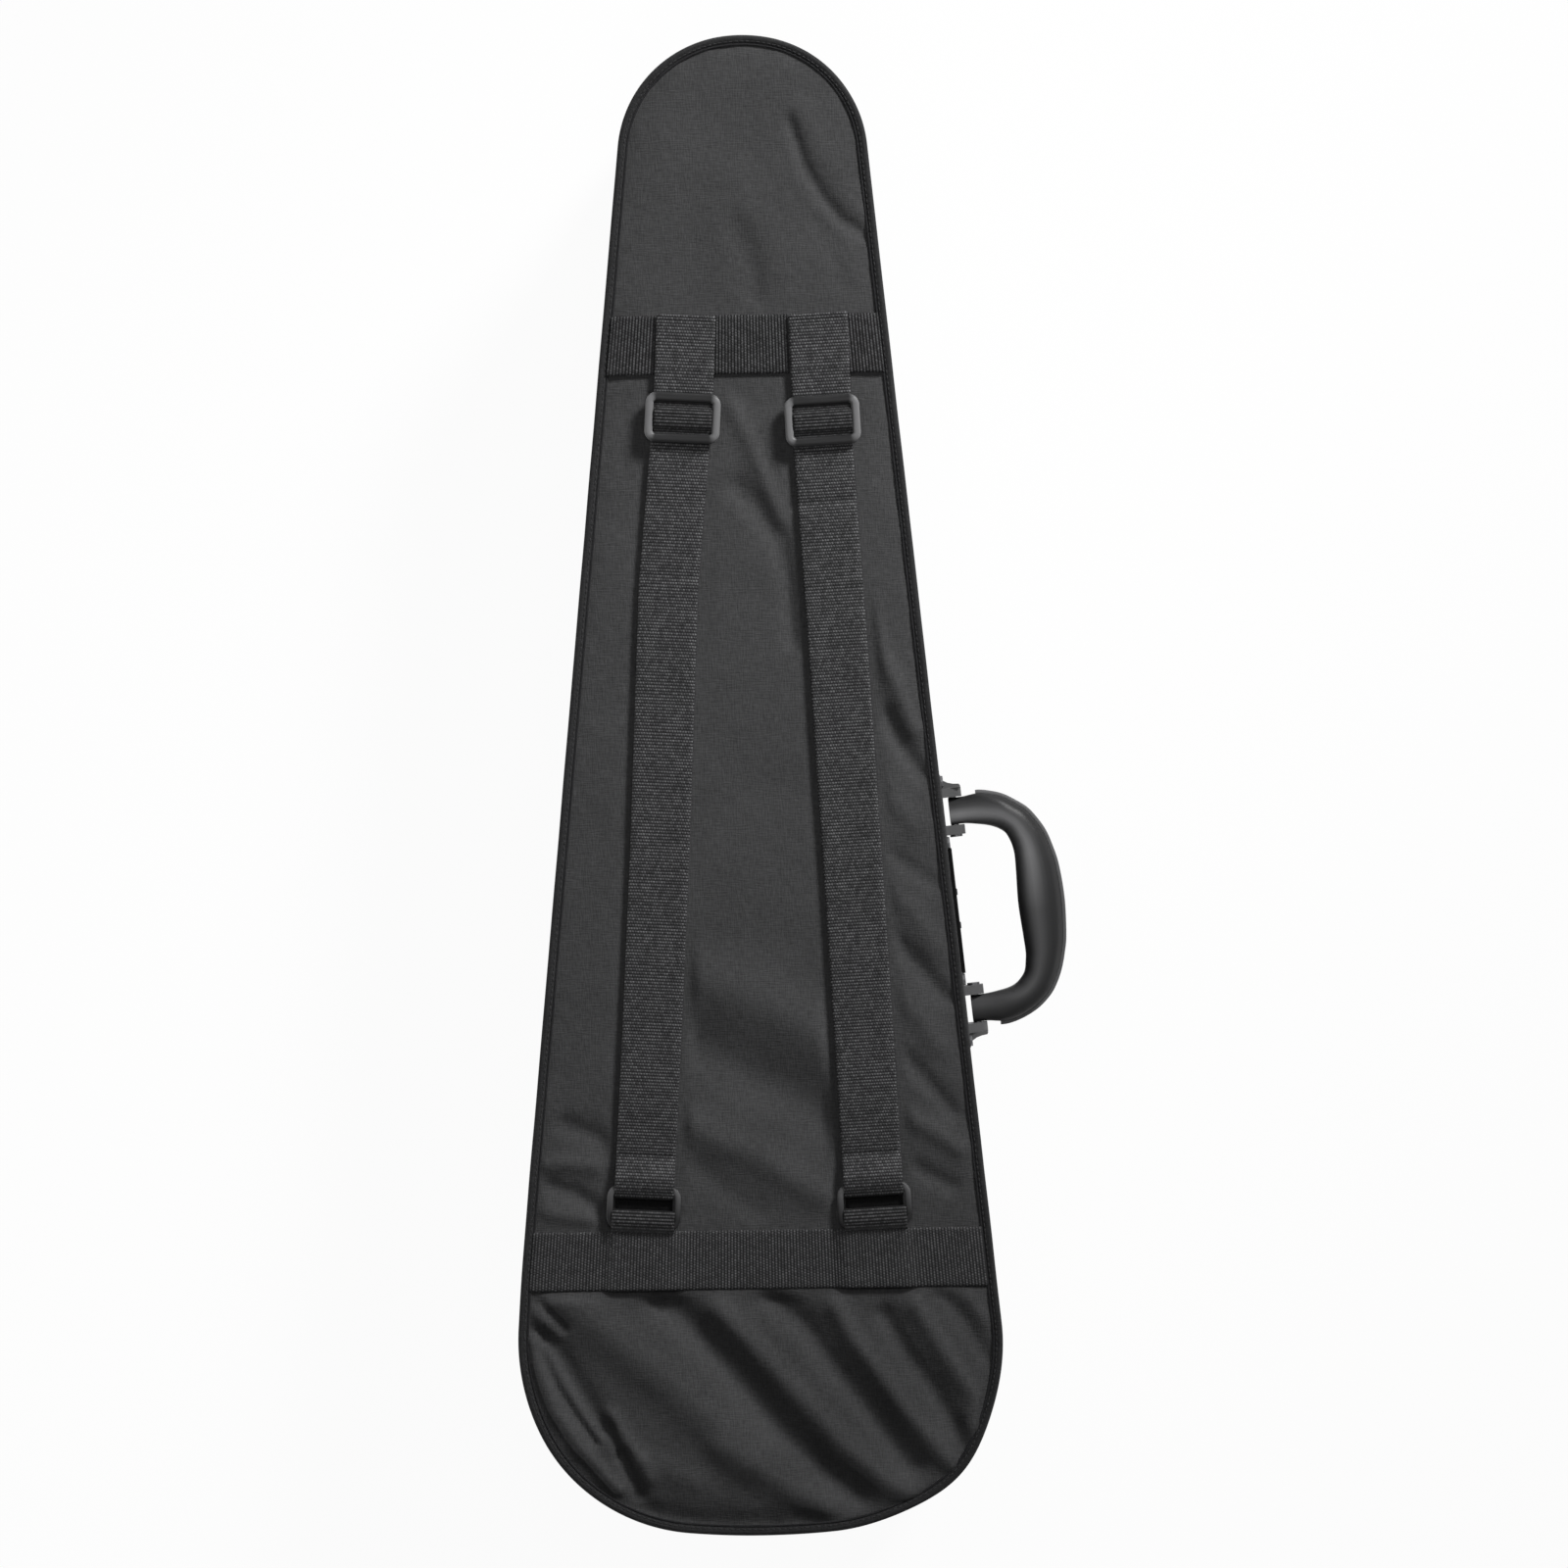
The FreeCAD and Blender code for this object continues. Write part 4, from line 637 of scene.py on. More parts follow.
def under_webbing(x, y):
    """1 where webbing, rings or adjusters lie on the back, falling to 0 beside them."""
    gap = np.minimum(abs(y - UPPER_BAND_Y), abs(y - LOWER_BAND_Y)) - WEB / 2
    for side in STRAPS:
        across, along = strap_local(side, x, y)
        beside = np.maximum(abs(across) - WEB / 2 - 2, np.maximum(-14 - along, along - 470))
        gap = np.minimum(gap, beside)
    return 1 - smooth(gap / 7)


def face_grid(inset, step, column_step):
    """Grid over the whole outline at an inset: x and y."""
    points, normals = right_edge(step)
    points = points - inset * normals
    points[[0, -1], 0] = 0
    columns = round(2 * points[:, 0].max() / column_step)
    share = np.linspace(-1, 1, columns + 1)
    return points[:, :1] * share, np.repeat(points[:, 1:], columns + 1, 1)


# How far inside the outline the canvas of the back and of the lid starts.
CANVAS_INSET = 3.6


def back_canvas():
    """The stretched back panel: its crown, folds, puckers at the edge and the hollow under the webbing."""
    x, y = face_grid(CANVAS_INSET, 2.2, 1.9)
    inside = edge_distance(x, y)
    from_seam = np.clip(inside - CANVAS_INSET, 0, None)
    crown = 1.7 * (1 - np.exp(-from_seam / 8))
    covered = under_webbing(x, y)
    folds = fold_height(x, y) * (1 - np.exp(-from_seam / 2.5))
    pucker = 0.3 * ripple(x, y, 16, 3) * np.exp(-inside / 9)
    soft = 0.12 * ripple(x, y, 34, 5) + 0.05 * ripple(x, y, 9, 6)
    beside_band = 1 - smooth((abs(y - LOWER_BAND_Y) - WEB / 2) / 9)
    z = BACK - 2.0 + crown + (1.12 * folds + soft) * (1 - covered) + pucker
    z = z - 0.25 * covered + 0.4 * beside_band
    z = np.where(covered > 0.98, np.minimum(z, BACK - 0.1), z)
    thing = piece("back_canvas", flat_grid(x, y, z), CANVAS, "base", ["base_back_canvas"])


def lid_canvas():
    x, y = face_grid(CANVAS_INSET, 3.2, 3.2)
    sink = np.exp(-np.clip(edge_distance(x, y) - CANVAS_INSET, 0, None) / 8)
    z = 0.25 + sink + 0.12 * ripple(x, y, 60, 11) + 0.03 * ripple(x, y, 14, 12)
    lists = flat_grid(x, y, np.maximum(z, 0.05))
    thing = piece("lid_canvas", lists, CANVAS, "lid", ["lid_front_canvas"])


# ---------------------------------------------------------------- edge, sides, zip and hinge


def shell_height(shell, depth):
    """A depth below a shell's outer face, as a height above the floor."""
    return depth if shell == "lid" else BACK - depth


def shell_profile(shell, profile):
    """A profile of (inset, depth), with heights for its depths."""
    return [(inset, shell_height(shell, depth)) for inset, depth in profile]


def binding(shell):
    """The rounded binding round a shell's outer face, a dark cord beside it and its stitches. The cord is
    partly the binding's sewn edge and mostly a painted shadow along the seam.
    """
    profile = [(4.5, 2.8), (4.55, 1.4), (4.2, 0.75), (3.65, 0.6), (3.1, 0.45), (2.4, 0.06), (1.6, 0.0),
               (0.85, 0.3), (0.3, 0.9), (0.05, 1.7), (0.2, 2.5), (0.7, 3.0)]
    inward = 1 if shell == "lid" else -1

    def gathers(points, lengths):
        wave = ripple(points[:, 0], points[:, 1], 7, 21)[:, None]
        bend = ripple(points[:, 0], points[:, 1], 60, 22)[:, None]
        shape = np.array([0, 0.3, 0.6, 0.5, 0.5, 1, 1, 1, 0.8, 0.4, 0, 0])
        return 0.12 * bend * shape, inward * 0.1 * np.abs(wave) * shape

    lists = sweep_edge(shell_profile(shell, profile), 2.2, gathers, True)
    piece(shell + "_binding", lists, BINDING, shell, [shell + "_piping"])
    angles = np.linspace(0, 2 * math.pi, 8, endpoint=False)
    # Painted shadow: a thin dark cord inside the binding, where the seam's shade falls.
    seam_shadow_cord = np.stack([5.0 + 0.75 * np.cos(angles), shell_height(shell, 1.35) + 0.6 * np.sin(angles)], 1)
    piece(shell + "_painted_seam_shadow", sweep_edge(seam_shadow_cord, 2.2, None, True), TAPE, shell)
    seam = edge_stitches(3.45, shell_height(shell, 0.5), 3.0, (0, 0, -inward))
    piece(shell + "_binding_stitches", stitches(*seam, 2.0, 0.5, 0.3), THREAD, shell)


def side_canvas(shell):
    """The canvas round a shell's wall, a little slack between its seams."""
    deep = 49 if shell == "lid" else 63
    depths = np.hstack([2.2, 3.0, 4.2, np.linspace(6, deep - 3, 19), deep - 1.4, deep - 0.4, deep])
    tuck_depths = [2.2, 3.2, 7, 16, deep - 9, deep - 2, deep]
    tuck = np.interp(depths, tuck_depths, [1.9, 1.5, 0.9, 0.55, 0.7, 1.3, 1.9])

    def puff(points, lengths):
        along = lengths[:, None]
        swell = 0.42 * ripple(along, depths[None] * 2.0, 55, 31)
        crease = 0.24 * ripple(along, depths[None] * 0.35, 17, 32)
        return (swell + crease) * np.sin(math.pi * np.clip(depths / deep, 0, 1)), 0

    lists = sweep_edge(shell_profile(shell, zip(tuck, depths)), 3.0, puff)
    thing = piece(shell + "_side", lists, CANVAS, shell, [shell + "_side_canvas"])
    seam = edge_stitches(0.9, shell_height(shell, deep - 3.2), 3.4)
    piece(shell + "_side_stitches", stitches(*seam, 2.3, 0.5, 0.35), THREAD, shell)


HINGE_NORMAL, HINGE_ALONG = SIDE_NORMAL * (-1, 1), SIDE_ALONG * (-1, 1)
HINGE_TAIL, HINGE_HEAD = -238, 222


def zip_line(step):
    """The outline without its hinge, from the hinge's tail end round to its head end."""
    points, normals, _ = whole_edge(step)
    along = points @ HINGE_ALONG
    on_side = abs(points @ HINGE_NORMAL - SIDE) < 0.01
    hinge = on_side & (along > HINGE_TAIL) & (along < HINGE_HEAD)
    start = np.flatnonzero(hinge)[-1] + 1
    points, normals, hinge = (np.roll(a, -start, 0) for a in (points, normals, hinge))
    tail, head = (HINGE_NORMAL * SIDE + HINGE_ALONG * a for a in (HINGE_TAIL, HINGE_HEAD))
    points = np.vstack([tail, points[~hinge], head])
    return points, np.vstack([HINGE_NORMAL, normals[~hinge], HINGE_NORMAL]), run_lengths(points)


def at_heights(flat, heights):
    """A grid of points on the plan, with a height for each column."""
    return np.dstack([flat, np.broadcast_to(heights, flat.shape[:2])])


def zip_half(shell):
    """A shell's half of the zip: its tape, its row of teeth and the tape's stitches."""
    sign = -1 if shell == "lid" else 1
    line = zip_line(3)
    points, normals, lengths = line
    heights = SEAM + sign * np.array([13.6, 10, 7.5, 5.5, 4.2, 3.4, 3.4, 5.5, 13.6])
    insets = np.array([2.3, 2.3, 2.2, 2.2, 2.0, 2.2, 2.8, 3.0, 3.0])
    body = at_heights(points[:, None] - insets[None, :, None] * normals[:, None], heights)
    around = np.hstack([0, np.cumsum(np.abs(np.diff(heights)) + 0.2)])
    piece(shell + "_tape", grid(body, uv_grid(lengths, around)), TAPE, shell, [shell + "_zip_tape"])
    pitch = 1.7
    stations = np.arange(0.5 + (pitch / 2 if shell == "lid" else 0), lengths[-1] - 0.5, pitch)
    centres, _, facing = seam_along(line, stations, 2.9, SEAM + sign * 1.35)
    teeth = stitches(centres, np.tile(UP, (len(stations), 1)), facing, 3.3, 1.1, 1.7)
    piece(shell + "_coil", teeth, COIL, shell, [shell + "_zip_teeth"])
    seam = seam_along(line, np.arange(1, lengths[-1] - 1, 3.0), 2.15, SEAM + sign * 7.4)
    piece(shell + "_tape_stitches", stitches(*seam, 2.0, 0.4, 0.25), THREAD, shell)


def hinge_strip():
    """The cloth hinge along the side away from the handle, fine across its folding line."""
    stations = np.arange(HINGE_TAIL + 0.4, HINGE_HEAD - 0.3, 3.0)
    above = [np.linspace(-13.8, -3, 8), np.linspace(-2.4, 2.4, 9), np.linspace(3, 13.8, 8)]
    heights = SEAM + np.hstack(above)
    inset = 2.1 + 0.25 * np.exp(-((heights - SEAM) / 2.5) ** 2)
    pull = 0.12 * ripple(stations[:, None], heights[None] * 0.5, 12, 41)
    at = HINGE_NORMAL * SIDE + HINGE_ALONG * stations[:, None]
    body = at_heights(at[:, None] - (inset + pull)[:, :, None] * HINGE_NORMAL, heights)
    nodes = ["lid_hinge_cloth", "base_hinge_cloth"]
    thing = piece("hinge_strip", grid(body, uv_grid(stations, heights)), HINGE_CLOTH, None, nodes)
    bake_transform(thing)


# ---------------------------------------------------------------- inside: linings and furnishings


def interior(shell):
    """The plush that covers the foam shell: groove behind the zip, rim, wall and floor."""
    rim = 57.8 if shell == "lid" else 71.3
    floor, wall_inset, bend = 11.9, 16.9, 6
    profile = [(2.6, rim - 14), (6.6, rim - 14), (7.1, rim - 13.2), (7.2, rim - 8), (7.2, rim - 2.2),
               (7.7, rim - 0.9), (9, rim - 0.15), (11, rim), (13.8, rim), (15.4, rim - 0.4),
               (16.5, rim - 1.4), (wall_inset, rim - 3)]
    profile += [(wall_inset, depth) for depth in np.linspace(rim - 8, floor + 7, 6)]
    profile += [(wall_inset + bend * (1 - math.cos(t)), floor + bend * (1 - math.sin(t)))
                for t in np.linspace(0.2, math.pi / 2, 6)]

    def soften(points, lengths):
        wobble = 0.25 * ripple(points[:, 0], points[:, 1], 30, 51)[:, None]
        return wobble * np.linspace(0, 1, len(profile)) ** 2 * (np.arange(len(profile)) < 18), 0

    wall = sweep_edge(shell_profile(shell, profile), 4.0, soften)
    x, y = face_grid(wall_inset + bend - 0.4, 6, 6)
    z = np.full(x.shape, shell_height(shell, floor)) + 0.15 * ripple(x, y, 40, 52)
    lists = together(wall, flat_grid(x, y, z))
    thing = piece(shell + "_interior", lists, PLUSH, shell, [shell + "_lining", shell + "_core"])


def half_width(y, inset):
    """Half the width of the outline at an inset, for each y."""
    points, normals = right_edge(2)
    points = points - inset * normals
    order = np.argsort(points[:, 1])
    return np.interp(y, points[order, 1], points[order, 0])


def violin_bed():
    """The plush bed that fills the base round the violin's hollow: two bouts, the waist and the neck."""
    lower, upper, low, top, inset = -262, -94, 64.0, 118, 17.2
    tail = inset - HALF_LENGTH
    y = tail + (20 - tail) * np.linspace(0, 1, 150) ** 1.35
    wide = half_width(y, inset)
    wide[0] = max(wide[0], 4)

    def bout(middle, radius):
        return np.sqrt(np.clip(radius**2 - (y - middle) ** 2, 0, None))

    waist = np.where((y > lower) & (y < upper), 62, 0)
    neck = np.where(y > upper, 22, 0)
    hollow = (bout(lower, 106) ** 9 + bout(upper, 86) ** 9 + waist**9.0 + neck**9.0) ** (1 / 9)
    hollow = np.minimum(hollow, wide - 1.2)
    deep = 40 * smooth(hollow / 10)
    lip = np.clip((wide - hollow) / 2, 0.2, 3)
    columns = [
        (wide, top), (wide, low + 3), (wide - 0.3 * lip, low + 0.8), (wide - lip, low), (hollow + lip, low),
        (hollow + 0.3 * lip, low + 0.7), (hollow, low + 0.08 * deep), (hollow - 0.3, low + 0.8 * deep),
        (0.96 * hollow, low + 0.95 * deep),
        *((share * hollow, low + deep) for share in (0.9, 0.75, 0.5, 0.25)),
    ]
    right = [np.stack([x, y, np.broadcast_to(z, y.shape)], 1) for x, z in columns]
    middle = np.stack([0 * y, y, low + deep], 1)
    points = np.stack([*right, middle, *(part * (-1, 1, 1) for part in right[::-1])], 1)
    points[:, :, 2] += 0.3 * ripple(points[:, :, 0], points[:, :, 1], 45, 61) * (points[:, :, 2] < top - 1)
    end = points[-1:].copy()
    end[:, :, 2] = top
    lists = flat_grid(*np.moveaxis(np.vstack([points, end]), 2, 0))
    thing = piece("violin_bed_plush", lists, PLUSH, "base", ["violin_bed"])


def furnishings():
    """What lies in the shells: foam blocks, the small compartment, the neck strap and the bow holders."""
    upholstered("neck_cradle_plush", "neck_cradle")
    upholstered("compartment_wall_plush", "accessory_partition", 1.6, 4)
    upholstered("head_block_plush", "head_block")
    softened("compartment_lid_plush", "accessory_lid", PLUSH, "accessory_lid", 0.9)
    softened("compartment_tab", "accessory_lid_tab", PILE, "accessory_lid", 0.25)
    for name, node, left, z in (("pile", "loop", -42, 69.2), ("hooks", "hook", -12, 67.7)):
        x = np.linspace(left, left + 54, 24)
        lists = ribbon(np.stack([x, 0 * x + 90, 0 * x + z], 1), (0, 1, 0), 25, 1.3, 8, 0.0)
        piece("neck_strap_" + name, lists, PILE, "base", ["neck_strap_" + node])
    softened("bow_tip_pocket_cloth", "bow_tip_pocket", PLUSH, "lid", 0.4)
    for side in STRAPS:
        softened("bow_clip_" + side, "bow_clip_block_" + side, CLIP, "lid", 0.9, 3)
        softened("bow_lever_" + side, "bow_clip_lever_" + side, CLIP, "bow_lever_" + side, 0.5)
    x, y = np.meshgrid(np.linspace(-40, 40, 21), np.linspace(290.8, 325.2, 30), indexing="ij")
    lists = flat_grid(x, y, 75.5 - 0.25 * np.exp(-((y - 308) / 1.5) ** 2))
    nodes = ["accessory_hinge_fixed", "accessory_hinge_moving"]
    thing = piece("compartment_hinge", lists, HINGE_CLOTH, None, nodes)
    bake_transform(thing)


# ---------------------------------------------------------------- straps, rings, adjusters, bands


def on_strap(side, across, along, height):
    """Points on the back from a strap's own coordinates: across it, along it and up."""
    lean, foot = STRAPS[side]["lean"], STRAPS[side]["foot"]
    c, s = math.cos(lean), math.sin(lean)
    across, along, height = np.broadcast_arrays(across, along, height)
    return np.stack([foot[0] + across * c - along * s, foot[1] + across * s + along * c, height], 1)


def strap_across(side):
    lean = STRAPS[side]["lean"]
    return np.array((math.cos(lean), math.sin(lean), 0))


# How far each strap wanders from its straight line: places along it, and the distances there.
DRIFT = {
    "left": ([0, 90, 191, 325, 397, 430, 470], [0, 0.2, 0, -1.7, 0.9, 1.6, 1.2]),
    "right": ([0, 150, 300, 396, 440, 470], [0, 0.2, -0.2, -1.2, 0, 0.6]),
}
# Creases across each strap: how far along it, and how deep.
CREASES = {"left": [(330, 1.0)], "right": [(368, 1.8), (322, 0.8)]}
# How far each adjuster sits across and along from the place where its strap dips for it.
ADJUSTER_SHIFT = {"left": (1.8, 0.2), "right": (-0.6, -2.2)}


def strap(side):
    """A strap's two layers of webbing, from its end at the upper band to its ring and back."""
    end, middle = STRAPS[side]["end"], STRAPS[side]["adjuster"]
    upper, between, lower = 132.2, 131.5, 130.8
    corners = [(end, upper), (middle + 24, upper), (middle, 132.0), (middle - 30, upper), (26, upper),
               (14.5, 134.9), (9.6, 134.7), (4.4, 132.9), (4.4, lower), (60, lower), (middle, lower)]
    along, height = rounded_path(corners, [40, 60, 60, 9, 4, 5, 1.0, 1.0, 9]).T
    on_top = height > between
    height = height - np.exp(-(((along - middle) / 8) ** 4)) * on_top
    on_top = height > between
    height = height + 0.18 * np.sin(along / 31) * on_top * smooth((along - 30) / 30)
    path = on_strap(side, np.interp(along, *DRIFT[side]), along, height)

    def creased(points):
        moved = np.zeros(points.shape)
        for place, depth in CREASES[side]:
            ridge = np.exp(-((along - place)[:, None] / 2.2) ** 2)
            moved[:, :, 2] -= 0.35 * depth * ridge * on_top[:, None]
        return moved

    lists = ribbon(path, strap_across(side), WEB, 1.25, shift=creased)
    nodes = ["strap_" + side, f"strap_{side}_underlayer"]
    piece("strap_webbing_" + side, lists, WEBBING, "base", nodes)
    rows = []
    x = np.arange(-13, 13.1, 2.6)
    across, facing = (np.tile(axis, (len(x), 1)) for axis in (strap_across(side), UP))
    for place in (end - 2.2, end - 28, 28, 31):
        top = 132.95 if place > 40 else 133.1
        centres = on_strap(side, x + np.interp(place, *DRIFT[side]), place, top)
        rows.append(stitches(centres, across, facing, 2.0, 0.5, 0.3))
    piece("strap_stitches_" + side, together(*rows), THREAD, "base")


def anchor(side):
    """The loop of webbing that holds a ring, and a near-black sheet under the ring's window: a painted shadow
    there.
    """
    corners = [(-22, 131.0), (-14.2, 131.0), (-12.4, 133.6), (-7.6, 135.0), (-2.6, 134.4), (-2.6, 130.8),
               (-14, 130.4), (-22, 130.4)]
    line = rounded_path(corners, [1, 2, 6, 2.2, 1.7, 3])
    lists = ribbon(on_strap(side, 0, line[:, 0], line[:, 1]), strap_across(side), 33, 1.2)
    piece("anchor_webbing_" + side, lists, DARK_WEBBING, "base", ["ring_anchor_" + side])
    # Painted shadow: a near-black sheet fills the ring's window, where shade falls.
    path = on_strap(side, 0, np.arange(-14, 14, 0.5), 130.3)
    piece("anchor_painted_shadow_" + side, ribbon(path, strap_across(side), 30, 0.8, 6, 0.05), SHADE_CLOTH, "base")


def rounded_section(angles, power):
    """Across and up for each angle of a section between a circle (power 2) and a square."""
    c, s = np.cos(angles), np.sin(angles)
    size = (np.abs(c) ** power + np.abs(s) ** power) ** (-1 / power)
    return c * size, s * size


def tube(path, radii, sides, closed=True, power=2.6, highlight_share=None):
    """A rounded bar along a path; radii are (half width, half height) at each point, and the share of painted
    highlight is 0 to 1 there.
    """
    tangent = np.roll(path, -1, 0) - np.roll(path, 1, 0) if closed else np.gradient(path, axis=0)
    tangent = unit(tangent)
    side = unit(np.cross(tangent, UP))
    up = np.cross(side, tangent)
    angles = np.linspace(0, 2 * math.pi, sides, endpoint=False)
    across, above = (a[None, :, None] for a in rounded_section(angles, power))
    radii = np.broadcast_to(radii, (len(path), 2))
    points = (
        path[:, None]
        + across * radii[:, None, :1] * side[:, None]
        + above * radii[:, None, 1:] * up[:, None]
    )
    if highlight_share is None:
        highlight_share = np.zeros(len(path))
    uv = uv_grid(np.append(highlight_share, highlight_share[0]) if closed else highlight_share, angles * 2)
    lists = grid(points, uv, close_rows=closed, close_columns=True)
    return lists if closed else capped(lists, sides)


def loop_path(half_x, half_y, corner):
    """A rounded rectangle's line, anticlockwise: x and y."""
    points = []
    for quarter, (cx, cy) in enumerate(((1, 1), (-1, 1), (-1, -1), (1, -1))):
        turn = np.linspace(0, math.pi / 2, 9) + quarter * math.pi / 2
        x = cx * (half_x - corner) + corner * np.cos(turn)
        points.append((x, cy * (half_y - corner) + corner * np.sin(turn)))
    return np.hstack(points)


def ring(side):
    """The rectangular ring: two bars joined by short legs, with wide corners, and a painted highlight on its
    upper corners.
    """
    x, y = loop_path(17.7, 10.4, 5.2)
    # Painted highlight: lighter towards the upper corners, where light catches the ring.
    highlight_share = 0.5 * smooth((abs(x) - 14) / 3) * smooth((y - 1) / 6)
    lists = tube(on_strap(side, x, y - 0.9, 132.9), (1.7, 1.45), 14, highlight_share=highlight_share)
    piece("ring_bar_" + side, lists, BUCKLE, "base", ["ring_" + side])


def adjuster(side):
    """The slide buckle: a frame with broad side rails painted lighter as a highlight and bevelled end rails,
    webbing over its bar.
    """
    aside, ahead = ADJUSTER_SHIFT[side]
    middle = STRAPS[side]["adjuster"] + ahead
    body = "strap_adjuster_" + side
    x, y = loop_path(17.6, 10.7, 3.4)
    beside = smooth((abs(x) - 14.2) / 3)
    radii = np.stack([2.5 - 0.35 * beside, 1.7 + 0.2 * beside], 1)
    # The side rails get a painted highlight: beside also sets how much lighter they are painted.
    rails = tube(on_strap(side, x + aside, y + middle, 135.1 + 0.35 * beside), radii, 16, highlight_share=beside)
    bar = on_strap(side, np.linspace(-17.5, 17.5, 15) + aside, middle, 135.2)
    lists = together(rails, tube(bar, (1.5, 0.8), 10, closed=False))
    piece("adjuster_frame_" + side, lists, BUCKLE, body, ["adjuster_" + side])
    corners = [(-8.6, 134.2), (-6.2, 134.5), (-3.8, 136.7), (3.4, 136.9), (5.8, 134.7), (8.6, 134.2)]
    wrap = rounded_path(corners, [2, 3, 3, 2])
    path = on_strap(side, aside, wrap[:, 0] + middle, wrap[:, 1])
    lists = ribbon(path, strap_across(side), 30.6, 1.2)
    piece("adjuster_webbing_" + side, lists, DARK_WEBBING, body, ["adjuster_wrap_" + side])


def band(name, y, node, over, material, level=130.45, thickness=1.25):
    """A band from binding to binding; over gives where it rides over an anchor, and how high."""
    reach = half_width(y, 4.7)
    x = np.arange(-reach, reach + 0.2, 0.5)
    z = np.full(len(x), level)
    for middle, half, rise in over:
        z += rise * (1 - smooth((abs(x - middle) - half) / 9))
    z -= 0.9 * np.clip((abs(x) - reach + 9) / 9, 0, 1) ** 2

    def slanted(points):
        """Moves that slant the band's ends to follow the case's tapered sides."""
        moved = np.zeros(points.shape)
        moved[:, :, 0] = (-math.tan(TAPER) * x / reach)[:, None] * (points[:, :, 1] - y)
        return moved

    path = np.stack([x, 0 * x + y, z], 1)
    piece(name, ribbon(path, (0, 1, 0), WEB, thickness, shift=slanted), material, "base", [node])


# ---------------------------------------------------------------- handle and fittings


def at_handle(points):
    """(out of the case, along towards the head, height) to the case's own directions."""
    flat = (SIDE + points[..., :1]) * SIDE_NORMAL + (HANDLE_ALONG + points[..., 1:2]) * SIDE_ALONG
    return np.concatenate([flat, points[..., 2:]], -1)


def flowing(points, count):
    """A smooth line through points."""
    ends = np.vstack([2 * points[0] - points[1], points, 2 * points[-1] - points[-2]])
    steps = np.linspace(0, len(points) - 1 - 1e-9, count)
    i, t = steps.astype(int), (steps % 1)[:, None]
    a, b, c, d = (ends[i + k] for k in range(4))
    return 0.5 * (2 * b + (c - a) * t + (2 * a - 5 * b + 4 * c - d) * t**2 + (3 * b - a - 3 * c + d) * t**3)


# Outer and inner edge of the handle, (out, along) of both, from the head's arm to the tail's.
HANDLE_EDGES = [
    (4.3, 59.9, 4.3, 45.5), (12, 59.9, 11.5, 45.55), (20, 60.6, 18, 44.5), (27, 59.2, 24, 43.1),
    (33, 57, 28, 41.5), (38.9, 53.2, 31, 39.6), (44.6, 48.6, 33, 37.4), (49.4, 41.8, 34.8, 33),
    (52.4, 36, 35.6, 29.5), (54.7, 28.6, 36, 25), (56.9, 18, 35.7, 16), (57.9, 0, 35, 0),
    (56.6, -19, 35.7, -17), (54.8, -28, 36, -26), (52.4, -36, 35.4, -31), (49.2, -43, 34.6, -35),
    (45.2, -48.8, 33, -38), (38.5, -54.6, 29.5, -41.5), (30, -58.8, 25, -43.6),
    (21, -60.9, 18.5, -44.8), (12, -59.9, 11.5, -45.55), (4.3, -59.9, 4.3, -45.5),
]


def handle():
    """The grip, square at its arms and round in the hand, and the fin of the plate between its shells. A band
    near the grip's crest is painted lighter as a highlight.
    """
    pairs = flowing(np.array(HANDLE_EDGES), 170)
    outer, inner = pairs[:, :2], pairs[:, 2:]
    direction = unit(outer - inner)
    out = (outer + inner)[:, 0] / 2
    # 0 at the pivots, 1 in the hand.
    grip = smooth((out - 9) / 26)
    outer = outer + direction * 0.4 * grip[:, None]
    middle, half = (outer + inner) / 2, np.linalg.norm(outer - inner, axis=1)[:, None] / 2
    thick = 4.4 + 4.0 * grip
    angles = np.linspace(0, 2 * math.pi, 28, endpoint=False)
    across, above = rounded_section(angles, (5.0 - 2.9 * grip)[:, None])
    flat = middle[:, None] + (across * half)[:, :, None] * direction[:, None]
    points = at_handle(np.dstack([flat, HANDLE_HEIGHT + above * thick[:, None]]))
    # Painted highlight: a band near the crest, towards the inner side, strongest on the head's half of the
    # grip.
    highlight_amount = np.exp(-(((np.cos(np.append(angles, 0)) + 0.3) / 0.45) ** 2))
    highlight_amount = highlight_amount * np.interp(middle[:, 1], (-45, -5, 11, 27, 60), (0.25, 0.33, 0.7, 1, 0.8))[:, None]
    uv = np.dstack([highlight_amount, np.broadcast_to(run_lengths(middle)[:, None], highlight_amount.shape)])
    lists = capped(grid(points, uv, close_columns=True), len(angles))
    nodes = ["handle_core", "handle_grip_upper", "handle_grip_lower"]
    piece("handle_grip", lists, HANDLE, "handle", nodes).data.set_sharp_from_angle(angle=0.9)
    keep = (out > 17.5) | (abs(middle[:, 1]) < 40)
    line = pairs[keep, :2] + direction[keep] * 0.5
    line = at_handle(np.hstack([line, np.full((len(line), 1), HANDLE_HEIGHT)]))
    fin = tube(line, (1.5, 1.5), 10, closed=False, power=5)
    piece("handle_core_edge", fin, BRACKET, "handle").data.set_sharp_from_angle(angle=0.9)


